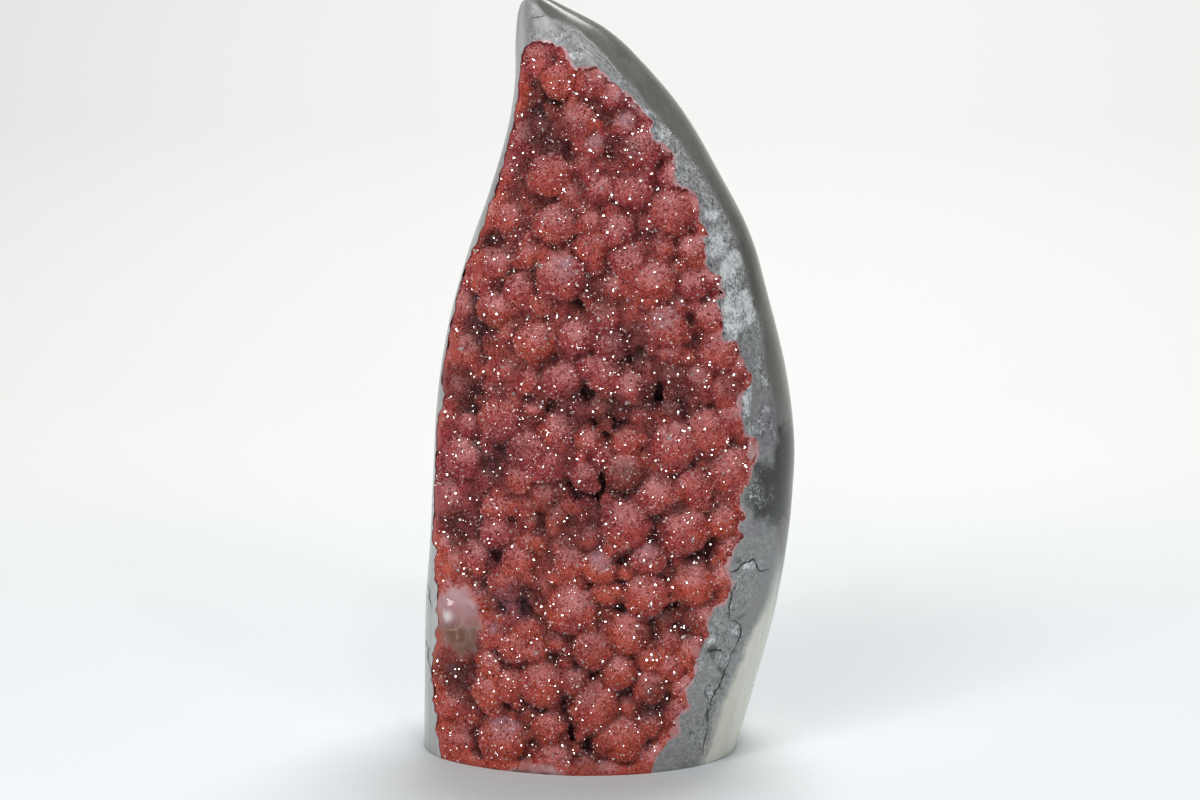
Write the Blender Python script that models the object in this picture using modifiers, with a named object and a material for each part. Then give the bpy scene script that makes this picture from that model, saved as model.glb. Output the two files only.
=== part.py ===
"""A tall piece of amethyst cut to stand: a polished outer skin round a front covered in crystal balls.

The crystal front, its chalcedony rim and the skin grew together as one stone, so this is one solid. The front
faces -Y and +Z is up. The origin is on the sawn base, below the widest part of the stone. Metres throughout,
apart from the layout of the balls, which is given in millimetres and turned into metres by MM.
"""
import bisect
import math

import bmesh
import bpy
from mathutils import Vector

MM = 0.001
NAME = "amethyst"

# Driving dimensions of the stone
HEIGHT = 0.2535
SILHOUETTE_Y = -0.008
UNDER_BASE = 0.004
BED_DEPTH = 0.007
# Share of the half-width, and of the front reach, where the crystal front gives way to the left face.
LEFT_LIP = 0.985
LEFT_CUT = 0.5
# How finely the stone and its balls are meshed, joined and then thinned.
RING_STEP = 0.0025
RING_POINTS = 128
TIP_RINGS = 6
BALL_DETAIL = 3
JOIN_VOXEL = 0.0015
TRIANGLES = 9400
# Limits for following a line of sight to the front surface.
SLOPE_STEP = 0.0004
LEAST_REACH = 0.0004
NEAREST_Y = -0.09
HALVINGS = 40
LEAST_FACING = 0.62

# Half-widths are measured in the plane of the silhouette: height and place of each edge, in mm.
LEFT_EDGE = [(-5, -63), (0, -63), (20, -62.5), (50, -61.8), (70, -60.2), (95, -58.8), (120, -57.2),
             (145, -53.2), (170, -46.2), (190, -39), (210, -33.2), (225, -30.8), (240, -30.4),
             (250, -28.8), (253.5, -25)]
RIGHT_EDGE = [(-5, 42), (0, 43.5), (20, 49), (45, 55.5), (70, 59.8), (95, 61.9), (110, 61.6), (130, 58.7),
              (150, 53.8), (175, 46.5), (195, 36.2), (215, 24.4), (230, 12), (242, -1), (250, -16),
              (253.5, -23)]
# How far the stone reaches in front of the silhouette plane and behind it, by height, in mm.
FRONT_REACH = [(-5, 36), (0, 36), (60, 38), (120, 36), (170, 30), (210, 22), (235, 13), (250, 5), (253.5, 2)]
BACK_REACH = [(-5, 48), (0, 48), (50, 52), (110, 50), (170, 40), (210, 28), (235, 16), (250, 6), (253.5, 2)]
# Exponents of the rounded section: front left, front right, back.
FRONT_LEFT_ROUND = (1.5, 0.43)
FRONT_RIGHT_ROUND = (2.2, 0.47)
BACK_ROUND = (2.4, 0.42)

# The front is laid out on a sighting plane, seen from an eye point straight in front and a little above.
SIGHT_CENTRE = Vector((-0.003, SILHOUETTE_Y, 0.119))
SIGHT_DISTANCE = 0.95
SIGHT_TILT = math.radians(11)

# Outline of the crystal front on the sighting plane, in mm across and up, clockwise from the upper left.
CRYSTAL_OUTLINE = [
    (-28, 112), (-25, 118), (-20, 119.5), (-13, 118), (-9, 112), (-2, 111), (5, 105), (14, 97), (18, 90),
    (24, 83), (27, 73), (33, 65), (36, 54), (36.5, 43), (41, 37), (41.5, 22), (47, 15), (50.5, 7), (47.5, -5),
    (52, -13), (51, -25), (47, -35), (46.5, -50), (44, -62), (39, -69), (35, -82), (31, -95), (28, -106),
    (22, -113), (17, -124), (16, -131), (-16, -131), (-54, -126), (-56, -112), (-54.5, -90), (-55, -65),
    (-58.5, -45), (-58.5, -8), (-56, 8), (-53, 22), (-49, 38), (-41, 55), (-34.5, 72), (-31.5, 88),
]

# Crystal balls: across, up and radius on the sighting plane, and how far the top lies below the front, in mm.
BALLS = [
    (-48.5, -70, 8, -0.5), (-47, -77.5, 7.5, 1),
    (-19.5, 113, 6.5, 0), (-13.5, 106, 5.5, -1), (-2.5, 105.5, 6.5, -0.5), (-24.5, 102.5, 4.5, 3),
    (4.5, 100.5, 5.5, 0), (11, 98, 3, 2), (-25.5, 96, 4.5, 4), (15, 95.5, 3.5, 1), (-7.5, 92, 7, 0),
    (8.5, 91, 5.5, 1), (-19, 90.5, 4, 4), (19.5, 88.5, 3, 1), (-25, 87.5, 5.5, 1), (-2, 84.5, 5, 3),
    (-14.5, 83.5, 4.5, 5), (21.5, 83, 4, 1), (12.5, 82, 7.5, 0), (-5, 78, 4.5, 4),
    (-28.5, 75.5, 5.5, 2), (-16, 74.5, 8, 0), (23, 74, 5, 0), (0, 70, 5, 1.5), (11, 69.5, 6.5, 0),
    (-9.5, 67.5, 4.5, 3), (30.5, 64, 4.5, 0), (-35.5, 62.5, 3.5, 0), (23, 61.5, 8, -1.5),
    (-29, 60.5, 6.5, 1), (-3, 59, 4.5, 1), (-14.5, 58.5, 7.5, 0), (5.5, 55.5, 6, 0),
    (-2.5, 50.5, 6, 1), (20.5, 50.5, 4.5, 1.5), (30, 49.5, 5.5, 0), (-23.5, 48.5, 4, 1),
    (9.5, 45.5, 7, -0.5), (-33.5, 44.5, 7.5, 0), (-12.5, 41, 8.5, -1.5), (36.5, 40.5, 4, 0),
    (-38.5, 39.5, 4.5, 0), (17.5, 39.5, 7.5, -1.5), (30.5, 38.5, 5.5, 0), (4, 37.5, 5, 2),
    (-26.5, 36.5, 5.5, 0), (-44, 31, 6.5, 0), (-19, 31, 5, 2), (25.5, 31, 4.5, 2),
    (-33.5, 30.5, 6.5, -0.5), (36, 27.5, 5.5, 0), (1.5, 27, 6, 1), (21.5, 24, 7.5, -1),
    (-30, 22.5, 4.5, 3), (-7.5, 21, 6.5, -1), (-21, 19.5, 7, -1.5), (4, 17.5, 5.5, 1),
    (-43.5, 16, 7.5, -1), (22.5, 16, 6.5, 2.5), (38.5, 16, 7.5, -1), (45.5, 11.5, 4, 0),
    (14, 11.5, 4.5, 4.5), (-3, 10.5, 4.5, 1), (-30, 9.5, 4.5, 3), (1.5, 8.5, 6.5, 0),
    (23.5, 8.5, 6.5, 4.5), (-23, 6.5, 5, 2.5), (-12.5, 6.5, 6.5, -0.5), (32.5, 6.5, 5, 1),
    (-45.5, 4, 5.5, 1.5), (10, 4, 5.5, 0), (41, 3, 7.5, 0), (-34.5, 2.5, 4, 4), (0, -2, 4.5, 3),
    (-21.5, -4, 4.5, 4), (23, -4, 4.5, 2), (13.5, -4.5, 6, 5), (-49.5, -6, 6.5, 0),
    (43, -6, 6, -0.5), (-32.5, -7, 8, -1), (-42.5, -8.5, 4.5, 1), (-13.5, -10.5, 6.5, 1),
    (34.5, -11, 8.5, -1.5), (-3.5, -14, 4.5, 1), (8.5, -14, 5.5, 2), (24.5, -14.5, 8.5, -1.5),
    (50.5, -16.5, 4, 0), (-23.5, -17.5, 7, -0.5), (-43.5, -18.5, 8.5, -1), (0.5, -18.5, 4.5, 3),
    (22.5, -20.5, 4.5, 2), (-16, -22, 5.5, 1), (42.5, -23.5, 9, -2), (8, -24, 6.5, -0.5),
    (-26.5, -25.5, 6, 0), (-5, -25.5, 4.5, 0), (-36.5, -26, 5, 4.5), (30.5, -29, 7, -1),
    (19, -31.5, 7, -1), (-18, -32, 5, 2), (-48, -32.5, 9, -1), (-24.5, -35.5, 4.5, 2.5),
    (-34.5, -36.5, 5, 0), (-13.5, -38.5, 4.5, 3), (39.5, -40, 6.5, 0), (-23, -40.5, 4.5, 3),
    (8.5, -41, 8.5, -2), (27, -43, 9, -1.5), (-34, -44, 6, -0.5), (-3.5, -45.5, 4.5, 2),
    (-24.5, -47, 2.5, 1), (-51, -48.5, 3.5, 0), (-12.5, -48.5, 4.5, 3), (4.5, -48.5, 4.5, 2),
    (42.5, -49.5, 4.5, 0), (-40, -52, 6.5, 0), (15.5, -52.5, 6, 0), (-27.5, -53.5, 6, 0),
    (-47.5, -54.5, 6.5, 0), (-9.5, -54.5, 6, 0), (0, -55.5, 6, 0), (39.5, -59, 5.5, 0),
    (-30.5, -60.5, 6.5, -0.5), (30.5, -60.5, 8, -1), (-7.5, -61, 4, 3), (-18.5, -62.5, 4, 4),
    (2.5, -63.5, 5.5, 2), (15, -64.5, 7.5, -1), (-40, -66, 5, 2), (-9, -69.5, 9, -1.5),
    (33, -72, 6.5, 0), (20.5, -73, 4.5, 4), (-23.5, -75.5, 5.5, 2), (9.5, -77.5, 7.5, -0.5),
    (-34.5, -78, 5.5, 1), (-46, -80, 6, 1), (22.5, -80, 5.5, 2), (-13.5, -80, 4.5, 3),
    (-27.5, -82, 6, 0), (-2.5, -82.5, 7, -0.5), (30, -83.5, 6, 0), (-21.5, -84, 4, 1),
    (16.5, -85, 5.5, 1), (-36.5, -88, 5, 0), (23, -89, 5, 0), (6, -90, 6, 0),
    (-48, -90.5, 5.5, 2.5), (-18.5, -94, 8.5, -1.5), (-9, -94, 5, 0), (-29.5, -94.5, 6, 0),
    (27, -95.5, 4.5, 0), (16.5, -95.5, 6.5, -0.5), (-36, -96.5, 6.5, -0.5), (-2.5, -101.5, 9, -1.5),
    (9.5, -101.5, 5, 3), (-48.5, -102, 5.5, 0), (-34, -102.5, 4, 2), (24, -103.5, 5.5, 0),
    (-22.5, -104, 4.5, 4), (16, -107.5, 5, 1.5), (-16.5, -108.5, 6.5, 0), (6, -112, 9, -1.5),
    (-31.5, -112.5, 8.5, -2), (-45.5, -114, 7, -0.5), (20.5, -118, 4.5, 0), (15, -119, 5.5, 0),
    (-14.5, -120, 7.5, -0.5), (-4, -120.5, 4.5, 2.5), (-40, -121.5, 4.5, 1),
    (-23.5, -123.5, 4.5, 1), (2.5, -123.5, 5.5, 0),
]


def through(knots, at):
    """Value at one place of the smooth curve through (place, value) knots."""
    places = [knot[0] for knot in knots]
    values = [knot[1] for knot in knots]
    last = len(knots) - 1
    at = min(max(at, places[0]), places[last])
    start = min(bisect.bisect_right(places, at) - 1, last - 1)
    span = places[start + 1] - places[start]
    part = (at - places[start]) / span

    def slope(knot):
        before = max(knot - 1, 0)
        after = min(knot + 1, last)
        return (values[after] - values[before]) / (places[after] - places[before]) * span

    curve = (2 * part ** 3 - 3 * part ** 2 + 1) * values[start]
    curve += (part ** 3 - 2 * part ** 2 + part) * slope(start)
    curve += (3 * part ** 2 - 2 * part ** 3) * values[start + 1]
    return curve + (part ** 3 - part ** 2) * slope(start + 1)


def edges(height, inset=0.0):
    """Middle and half-width of the stone at a height, with its sides drawn in by inset."""
    left = through(LEFT_EDGE, height / MM) * MM
    right = through(RIGHT_EDGE, height / MM) * MM
    return (left + right) / 2, max((right - left) / 2 - inset, LEAST_REACH)


def front_y(x, height, inset=0.0):
    """Y of the front surface at a place across and a height, with the surface drawn in by inset."""
    middle, half = edges(height, inset)
    across = min(max((x - middle) / half, -1.0), 1.0)
    power, root = FRONT_LEFT_ROUND if across < 0 else FRONT_RIGHT_ROUND
    reach = max(through(FRONT_REACH, height / MM) * MM - inset, LEAST_REACH)
    return SILHOUETTE_Y - reach * (1 - abs(across) ** power) ** root


def back_y(x, height):
    """Y of the back surface at a place across and a height."""
    middle, half = edges(height)
    across = min(max((x - middle) / half, -1.0), 1.0)
    power, root = BACK_ROUND
    return SILHOUETTE_Y + through(BACK_REACH, height / MM) * MM * (1 - abs(across) ** power) ** root


def sight_axes():
    """The directions right, up and ahead of the sighting plane."""
    ahead = Vector((0, math.cos(SIGHT_TILT), -math.sin(SIGHT_TILT)))
    right = Vector((1, 0, 0))
    return right, right.cross(ahead), ahead


def sight(point):
    """Place of a point on the sighting plane, in mm across and up."""
    right, up, ahead = sight_axes()
    eye = SIGHT_CENTRE - ahead * SIGHT_DISTANCE
    line = Vector(point) - eye
    scale = SIGHT_DISTANCE / line.dot(ahead) / MM
    return line.dot(right) * scale, line.dot(up) * scale


def on_front(across, rise):
    """Where the line from the eye through a sighted place meets the front, and its direction."""
    right, up, ahead = sight_axes()
    eye = SIGHT_CENTRE - ahead * SIGHT_DISTANCE
    line = SIGHT_CENTRE + (right * across + up * rise) * MM - eye
    near, far = NEAREST_Y, SILHOUETTE_Y
    for _ in range(HALVINGS):
        y = (near + far) / 2
        point = eye + line * ((y - eye.y) / line.y)
        if y < front_y(point.x, point.z):
            near = y
        else:
            far = y
    return point, line.normalized()


def front_normal(point):
    """Outward direction of the front surface at a point on it."""
    x, height = point.x, point.z
    slope_x = (front_y(x + SLOPE_STEP, height) - front_y(x - SLOPE_STEP, height)) / (2 * SLOPE_STEP)
    slope_z = (front_y(x, height + SLOPE_STEP) - front_y(x, height - SLOPE_STEP)) / (2 * SLOPE_STEP)
    return Vector((slope_x, -1, slope_z)).normalized()


def inside_outline(across, rise):
    """Whether a place on the sighting plane is within the outline of the crystal front."""
    inside = False
    for index, (x0, y0) in enumerate(CRYSTAL_OUTLINE):
        x1, y1 = CRYSTAL_OUTLINE[index - 1]
        if (y0 > rise) != (y1 > rise) and across < x0 + (x1 - x0) * (rise - y0) / (y1 - y0):
            inside = not inside
    return inside


def add_stone(mesh):
    """Loft of the whole stone up its height, with the crystal front sunk to the bed of the balls."""
    rings = []
    steps = int((HEIGHT + UNDER_BASE) / RING_STEP)
    heights = [-UNDER_BASE + RING_STEP * step for step in range(steps)]
    heights += [HEIGHT - RING_STEP * 0.5 ** (finer + 1) for finer in range(TIP_RINGS)]
    for height in sorted(heights):
        ring = []
        for corner in range(RING_POINTS):
            turn = 2 * math.pi * corner / RING_POINTS
            middle, half = edges(height)
            x = middle - half * math.cos(turn)
            if turn > math.pi:
                ring.append(mesh.verts.new((x, back_y(x, height), height)))
                continue
            point = Vector((x, front_y(x, height), height))
            if math.cos(turn) < LEFT_LIP and inside_outline(*sight(point)):
                middle, half = edges(height, BED_DEPTH)
                x = middle - half * math.cos(turn)
                point = Vector((x, front_y(x, height, BED_DEPTH), height))
            ring.append(mesh.verts.new(point))
        rings.append(ring)
    for lower, upper in zip(rings, rings[1:]):
        for corner in range(RING_POINTS):
            after = (corner + 1) % RING_POINTS
            mesh.faces.new((lower[corner], lower[after], upper[after], upper[corner]))
    mesh.faces.new(list(reversed(rings[0])))
    mesh.faces.new(rings[-1])


def left_face_x(y, height):
    """X of the polished left face at a place in depth and a height, or None where the front takes over."""
    reach = through(FRONT_REACH, height / MM) * MM
    depth = max((SILHOUETTE_Y - y) / reach, 0.0)
    if depth > LEFT_CUT:
        return None
    middle, half = edges(height)
    power, root = FRONT_LEFT_ROUND
    return middle - half * (1 - depth ** (1 / root)) ** (1 / power)


def add_balls(mesh):
    """One sphere for each crystal ball, its top just below the front, sawn off level with the left face."""
    for across, rise, radius, sunk in BALLS:
        top, line = on_front(across, rise)
        facing = max(-line.dot(front_normal(top)), LEAST_FACING)
        centre = top + line * ((radius + sunk) * MM / facing)
        made = bmesh.ops.create_icosphere(mesh, subdivisions=BALL_DETAIL, radius=radius * MM)
        bmesh.ops.translate(mesh, verts=made["verts"], vec=centre)
        for vertex in made["verts"]:
            face_x = left_face_x(vertex.co.y, vertex.co.z)
            if face_x is not None:
                vertex.co.x = max(vertex.co.x, face_x)


def largest_shell(mesh):
    """Leave only the largest connected shell of a mesh, so no pocket stays sealed inside."""
    left = set(mesh.verts)
    shells = []
    while left:
        seeds = [left.pop()]
        shell = list(seeds)
        while seeds:
            vertex = seeds.pop()
            for edge in vertex.link_edges:
                other = edge.other_vert(vertex)
                if other in left:
                    left.remove(other)
                    seeds.append(other)
                    shell.append(other)
        shells.append(shell)
    shells.sort(key=len)
    for shell in shells[:-1]:
        bmesh.ops.delete(mesh, geom=shell, context="VERTS")


def stone_material():
    """Red crystal with a glassy surface."""
    material = bpy.data.materials.new("red_quartz")
    material.use_nodes = True
    shader = material.node_tree.nodes["Principled BSDF"]
    shader.inputs["Base Color"].default_value = (0.36, 0.07, 0.06, 1)
    shader.inputs["Roughness"].default_value = 0.35
    shader.inputs["Metallic"].default_value = 0.0
    return material


def evaluated_copy(thing):
    """The mesh of an object as its modifiers leave it."""
    bpy.context.view_layer.update()
    return bpy.data.meshes.new_from_object(thing.evaluated_get(bpy.context.evaluated_depsgraph_get()))


def join_stone(collection):
    """The stone and its balls joined into one closed surface, as an object in the collection."""
    loose = bmesh.new()
    add_stone(loose)
    add_balls(loose)
    mesh = bpy.data.meshes.new(NAME)
    loose.to_mesh(mesh)
    loose.free()
    stone = bpy.data.objects.new(NAME, mesh)
    collection.objects.link(stone)
    joined = stone.modifiers.new("join", "REMESH")
    joined.mode = "VOXEL"
    joined.voxel_size = JOIN_VOXEL
    whole = evaluated_copy(stone)
    stone.modifiers.clear()
    shells = bmesh.new()
    shells.from_mesh(whole)
    largest_shell(shells)
    bmesh.ops.triangulate(shells, faces=shells.faces)
    shells.to_mesh(whole)
    shells.free()
    stone.data = whole
    return stone


def base_cutter(collection):
    """A block under the origin, whose top is the plane of the sawn base."""
    size = HEIGHT
    bpy.ops.mesh.primitive_cube_add(size=size, location=(0, 0, -size / 2))
    cutter = bpy.context.object
    cutter.name = "below_base"
    for holder in list(cutter.users_collection):
        holder.objects.unlink(cutter)
    collection.objects.link(cutter)
    cutter.hide_render = True
    cutter.display_type = "WIRE"
    return cutter


def main():
    for thing in list(bpy.data.objects):
        bpy.data.objects.remove(thing, do_unlink=True)
    parts = bpy.data.collections.new("amethyst_stone")
    cutters = bpy.data.collections.new("cutters")
    bpy.context.scene.collection.children.link(parts)
    bpy.context.scene.collection.children.link(cutters)
    stone = join_stone(parts)
    stone.data.materials.clear()
    stone.data.materials.append(stone_material())
    fewer = stone.modifiers.new("fewer_faces", "DECIMATE")
    fewer.ratio = TRIANGLES / len(stone.data.polygons)
    sawn = stone.modifiers.new("sawn_base", "BOOLEAN")
    sawn.operation = "DIFFERENCE"
    sawn.solver = "EXACT"
    sawn.object = base_cutter(cutters)


main()
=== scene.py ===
"""Amethyst stone cut to stand on its base.

A polished grey shell holds a front of red crystal balls. Each ball is covered in quartz sugar, clear quartz
points sit between the balls, a pale cut edge runs round the front, and a few balls are ground to a window.
The layout of the front is given on a sighting plane, in millimetres across and up; all else is in metres.
"""
import math

import bmesh
import bpy
import numpy as np
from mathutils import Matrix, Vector, geometry


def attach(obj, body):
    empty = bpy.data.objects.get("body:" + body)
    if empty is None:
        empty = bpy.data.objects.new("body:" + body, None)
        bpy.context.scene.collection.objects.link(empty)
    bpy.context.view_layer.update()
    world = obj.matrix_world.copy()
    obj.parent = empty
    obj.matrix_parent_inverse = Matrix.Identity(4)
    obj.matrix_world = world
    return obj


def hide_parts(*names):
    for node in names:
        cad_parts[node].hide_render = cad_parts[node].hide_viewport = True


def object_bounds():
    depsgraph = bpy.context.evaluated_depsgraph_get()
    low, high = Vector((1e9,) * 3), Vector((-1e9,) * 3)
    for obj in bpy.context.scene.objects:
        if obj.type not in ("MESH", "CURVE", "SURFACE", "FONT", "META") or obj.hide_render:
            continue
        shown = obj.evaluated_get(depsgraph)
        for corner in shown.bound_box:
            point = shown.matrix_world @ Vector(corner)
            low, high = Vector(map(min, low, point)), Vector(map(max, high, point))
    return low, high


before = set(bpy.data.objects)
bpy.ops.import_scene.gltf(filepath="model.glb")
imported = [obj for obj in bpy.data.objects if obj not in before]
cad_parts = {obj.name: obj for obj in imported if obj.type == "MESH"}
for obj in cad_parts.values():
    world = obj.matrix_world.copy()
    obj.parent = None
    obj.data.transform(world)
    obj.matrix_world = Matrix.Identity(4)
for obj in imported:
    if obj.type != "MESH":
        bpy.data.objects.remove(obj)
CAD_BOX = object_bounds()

bl_info = {
    "name": "Amethyst stone",
    "version": (1, 0, 0),
    "blender": (4, 5, 0),
    "location": "View3D > Sidebar > Amethyst",
    "description": "Builds a polished stone with a front of red crystal balls",
    "category": "Add Mesh",
}

MM = 0.001
NODE = "amethyst"
BODY = "root"
FULL_CRUST = "crust_full"
SEED = 47

# The stone's outline: height and place of each edge in the plane of the silhouette, in mm
SILHOUETTE_Y = -0.008
LEFT_EDGE = [
    (-5, -63), (0, -63), (20, -62.5), (50, -61.8), (70, -60.2), (95, -58.8), (120, -57.2), (145, -53.2),
    (170, -46.2), (190, -39), (210, -33.2), (225, -30.8), (240, -30.4), (250, -28.8), (253.5, -25),
]
RIGHT_EDGE = [
    (-5, 42), (0, 43.5), (20, 49), (45, 55.5), (70, 59.8), (95, 61.9), (110, 61.6), (130, 58.7),
    (150, 53.8), (175, 46.5), (195, 36.2), (215, 24.4), (230, 12), (242, -1), (250, -16), (253.5, -23),
]
# How far the front and the back stand out from that plane at each height, in mm
FRONT_REACH = [
    (-5, 36), (0, 36), (60, 38), (120, 36), (170, 30), (210, 22), (235, 13), (250, 5), (253.5, 2),
]
BACK_REACH = [
    (-5, 48), (0, 48), (50, 52), (110, 50), (170, 40), (210, 28), (235, 16), (250, 6), (253.5, 2),
]
# How round each side is in plan: the power and the root of its curve
FRONT_LEFT_ROUND = (1.5, 0.43)
FRONT_RIGHT_ROUND = (2.2, 0.47)
BACK_ROUND = (2.4, 0.42)
# The left face counts as cut as far forward as this share of the front's reach; past it there is no limit
LEFT_CUT = 0.5
NO_LIMIT = -1

# The sighting plane: its centre, the eye's distance and how far the eye looks down
SIGHT_CENTRE = np.array((-0.003, SILHOUETTE_Y, 0.119))
SIGHT_DISTANCE = 0.95
SIGHT_TILT = math.radians(11)
AHEAD = np.array((0, math.cos(SIGHT_TILT), -math.sin(SIGHT_TILT)))
RIGHT = np.array((1.0, 0, 0))
UP = np.cross(RIGHT, AHEAD)
EYE = SIGHT_CENTRE - AHEAD * SIGHT_DISTANCE

# Edge of the crystal front, in mm across and up, clockwise from the upper left
CRYSTAL_EDGE = [
    (-26.3, 113.3), (-24.3, 118.3), (-20.7, 120), (-16.7, 119.7), (-13.3, 118), (-10.7, 116),
    (-9.3, 112.7), (-7.7, 110.7), (-5, 111.3), (-1, 111.3), (1.3, 109), (4, 106), (6.7, 104), (9, 102.7),
    (11.3, 100), (13.7, 97.3), (15.7, 95), (18, 93), (16.7, 89.7), (18, 86.7), (20.3, 86), (22.7, 84.3),
    (24.3, 82.7), (25.3, 80.7), (25, 78.3), (24.7, 75.3), (25.3, 72.7), (27, 71.3), (30, 70.3),
    (32, 68.3), (33, 65.7), (33.3, 60), (34.7, 58), (36.3, 54.7), (34.3, 54), (35, 50), (35.3, 46),
    (36.7, 42.7), (40.7, 41), (40.3, 37.3), (41.7, 35.7), (41.3, 34.3), (39.3, 33.7), (40, 30.7),
    (41.3, 27.3), (41.3, 24), (40.7, 20.7), (45, 20), (46.7, 15), (48.3, 13.3), (49, 10), (50.7, 8.3),
    (51, 6.3), (49, 4), (47.3, 1), (47.7, -6.7), (48.3, -10.7), (50, -12), (52.7, -12.3), (53, -15),
    (52.3, -21), (51, -22), (50.7, -25), (50, -27.7), (48, -29.3), (47, -31.7), (46.7, -34), (48, -36.7),
    (48.7, -39.3), (47, -40.7), (46.3, -43.3), (48, -46), (46, -48.3), (44.7, -50.7), (43.7, -53.3),
    (43, -56.7), (43.7, -59), (45, -61.3), (44, -63.3), (42.7, -66), (41.3, -68.7), (38.3, -69),
    (37, -71.7), (35.7, -75), (36.7, -77.7), (35.3, -80), (33.3, -84), (32.3, -86.7), (32.3, -90),
    (31.3, -93.3), (29.3, -96), (29, -99), (30.3, -102.3), (29.7, -104), (27, -105), (26.3, -107.3),
    (27, -111), (25.3, -112.3), (22.7, -113.7), (21.3, -116), (19.7, -118.3), (18.3, -121),
    (17.3, -123.3), (17, -125.7), (17, -133.3), (-52.8, -133.3), (-53, -120), (-53.7, -113.3),
    (-54.3, -106.7), (-55.3, -103.3), (-56, -100), (-56.3, -93.3), (-55.7, -86.7), (-55.3, -83.3),
    (-54.3, -80), (-54, -73.3), (-54.3, -66.7), (-55.3, -60), (-55.3, -53.3), (-54.7, -49.3),
    (-56, -45.3), (-55.8, -40), (-55.8, -33.3), (-55.4, -26.7), (-55.1, -20), (-54.8, -13.3),
    (-54.4, -6.7), (-52.3, -1.3), (-51.7, 2), (-53, 5.3), (-52.3, 13.3), (-51.3, 20), (-50, 26.7),
    (-48.2, 33.3), (-46.3, 40), (-44, 46.7), (-40.7, 53.3), (-38.3, 60), (-36, 66.7), (-33.7, 73.3),
    (-32, 80), (-31, 86.7), (-30, 93.3), (-28.5, 100), (-27.7, 106.7),
]
# Least border of polished stone on the left, in mm: its width, the size, rate and start of the waves in it,
# and how much wider it grows above a height
LEFT_BORDER = 0.5
BORDER_WAVES = ((0.2, 0.7, 0), (0.15, 1.9, 1))
TOP_BORDER = 0.9
TOP_BORDER_START = 70

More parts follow.
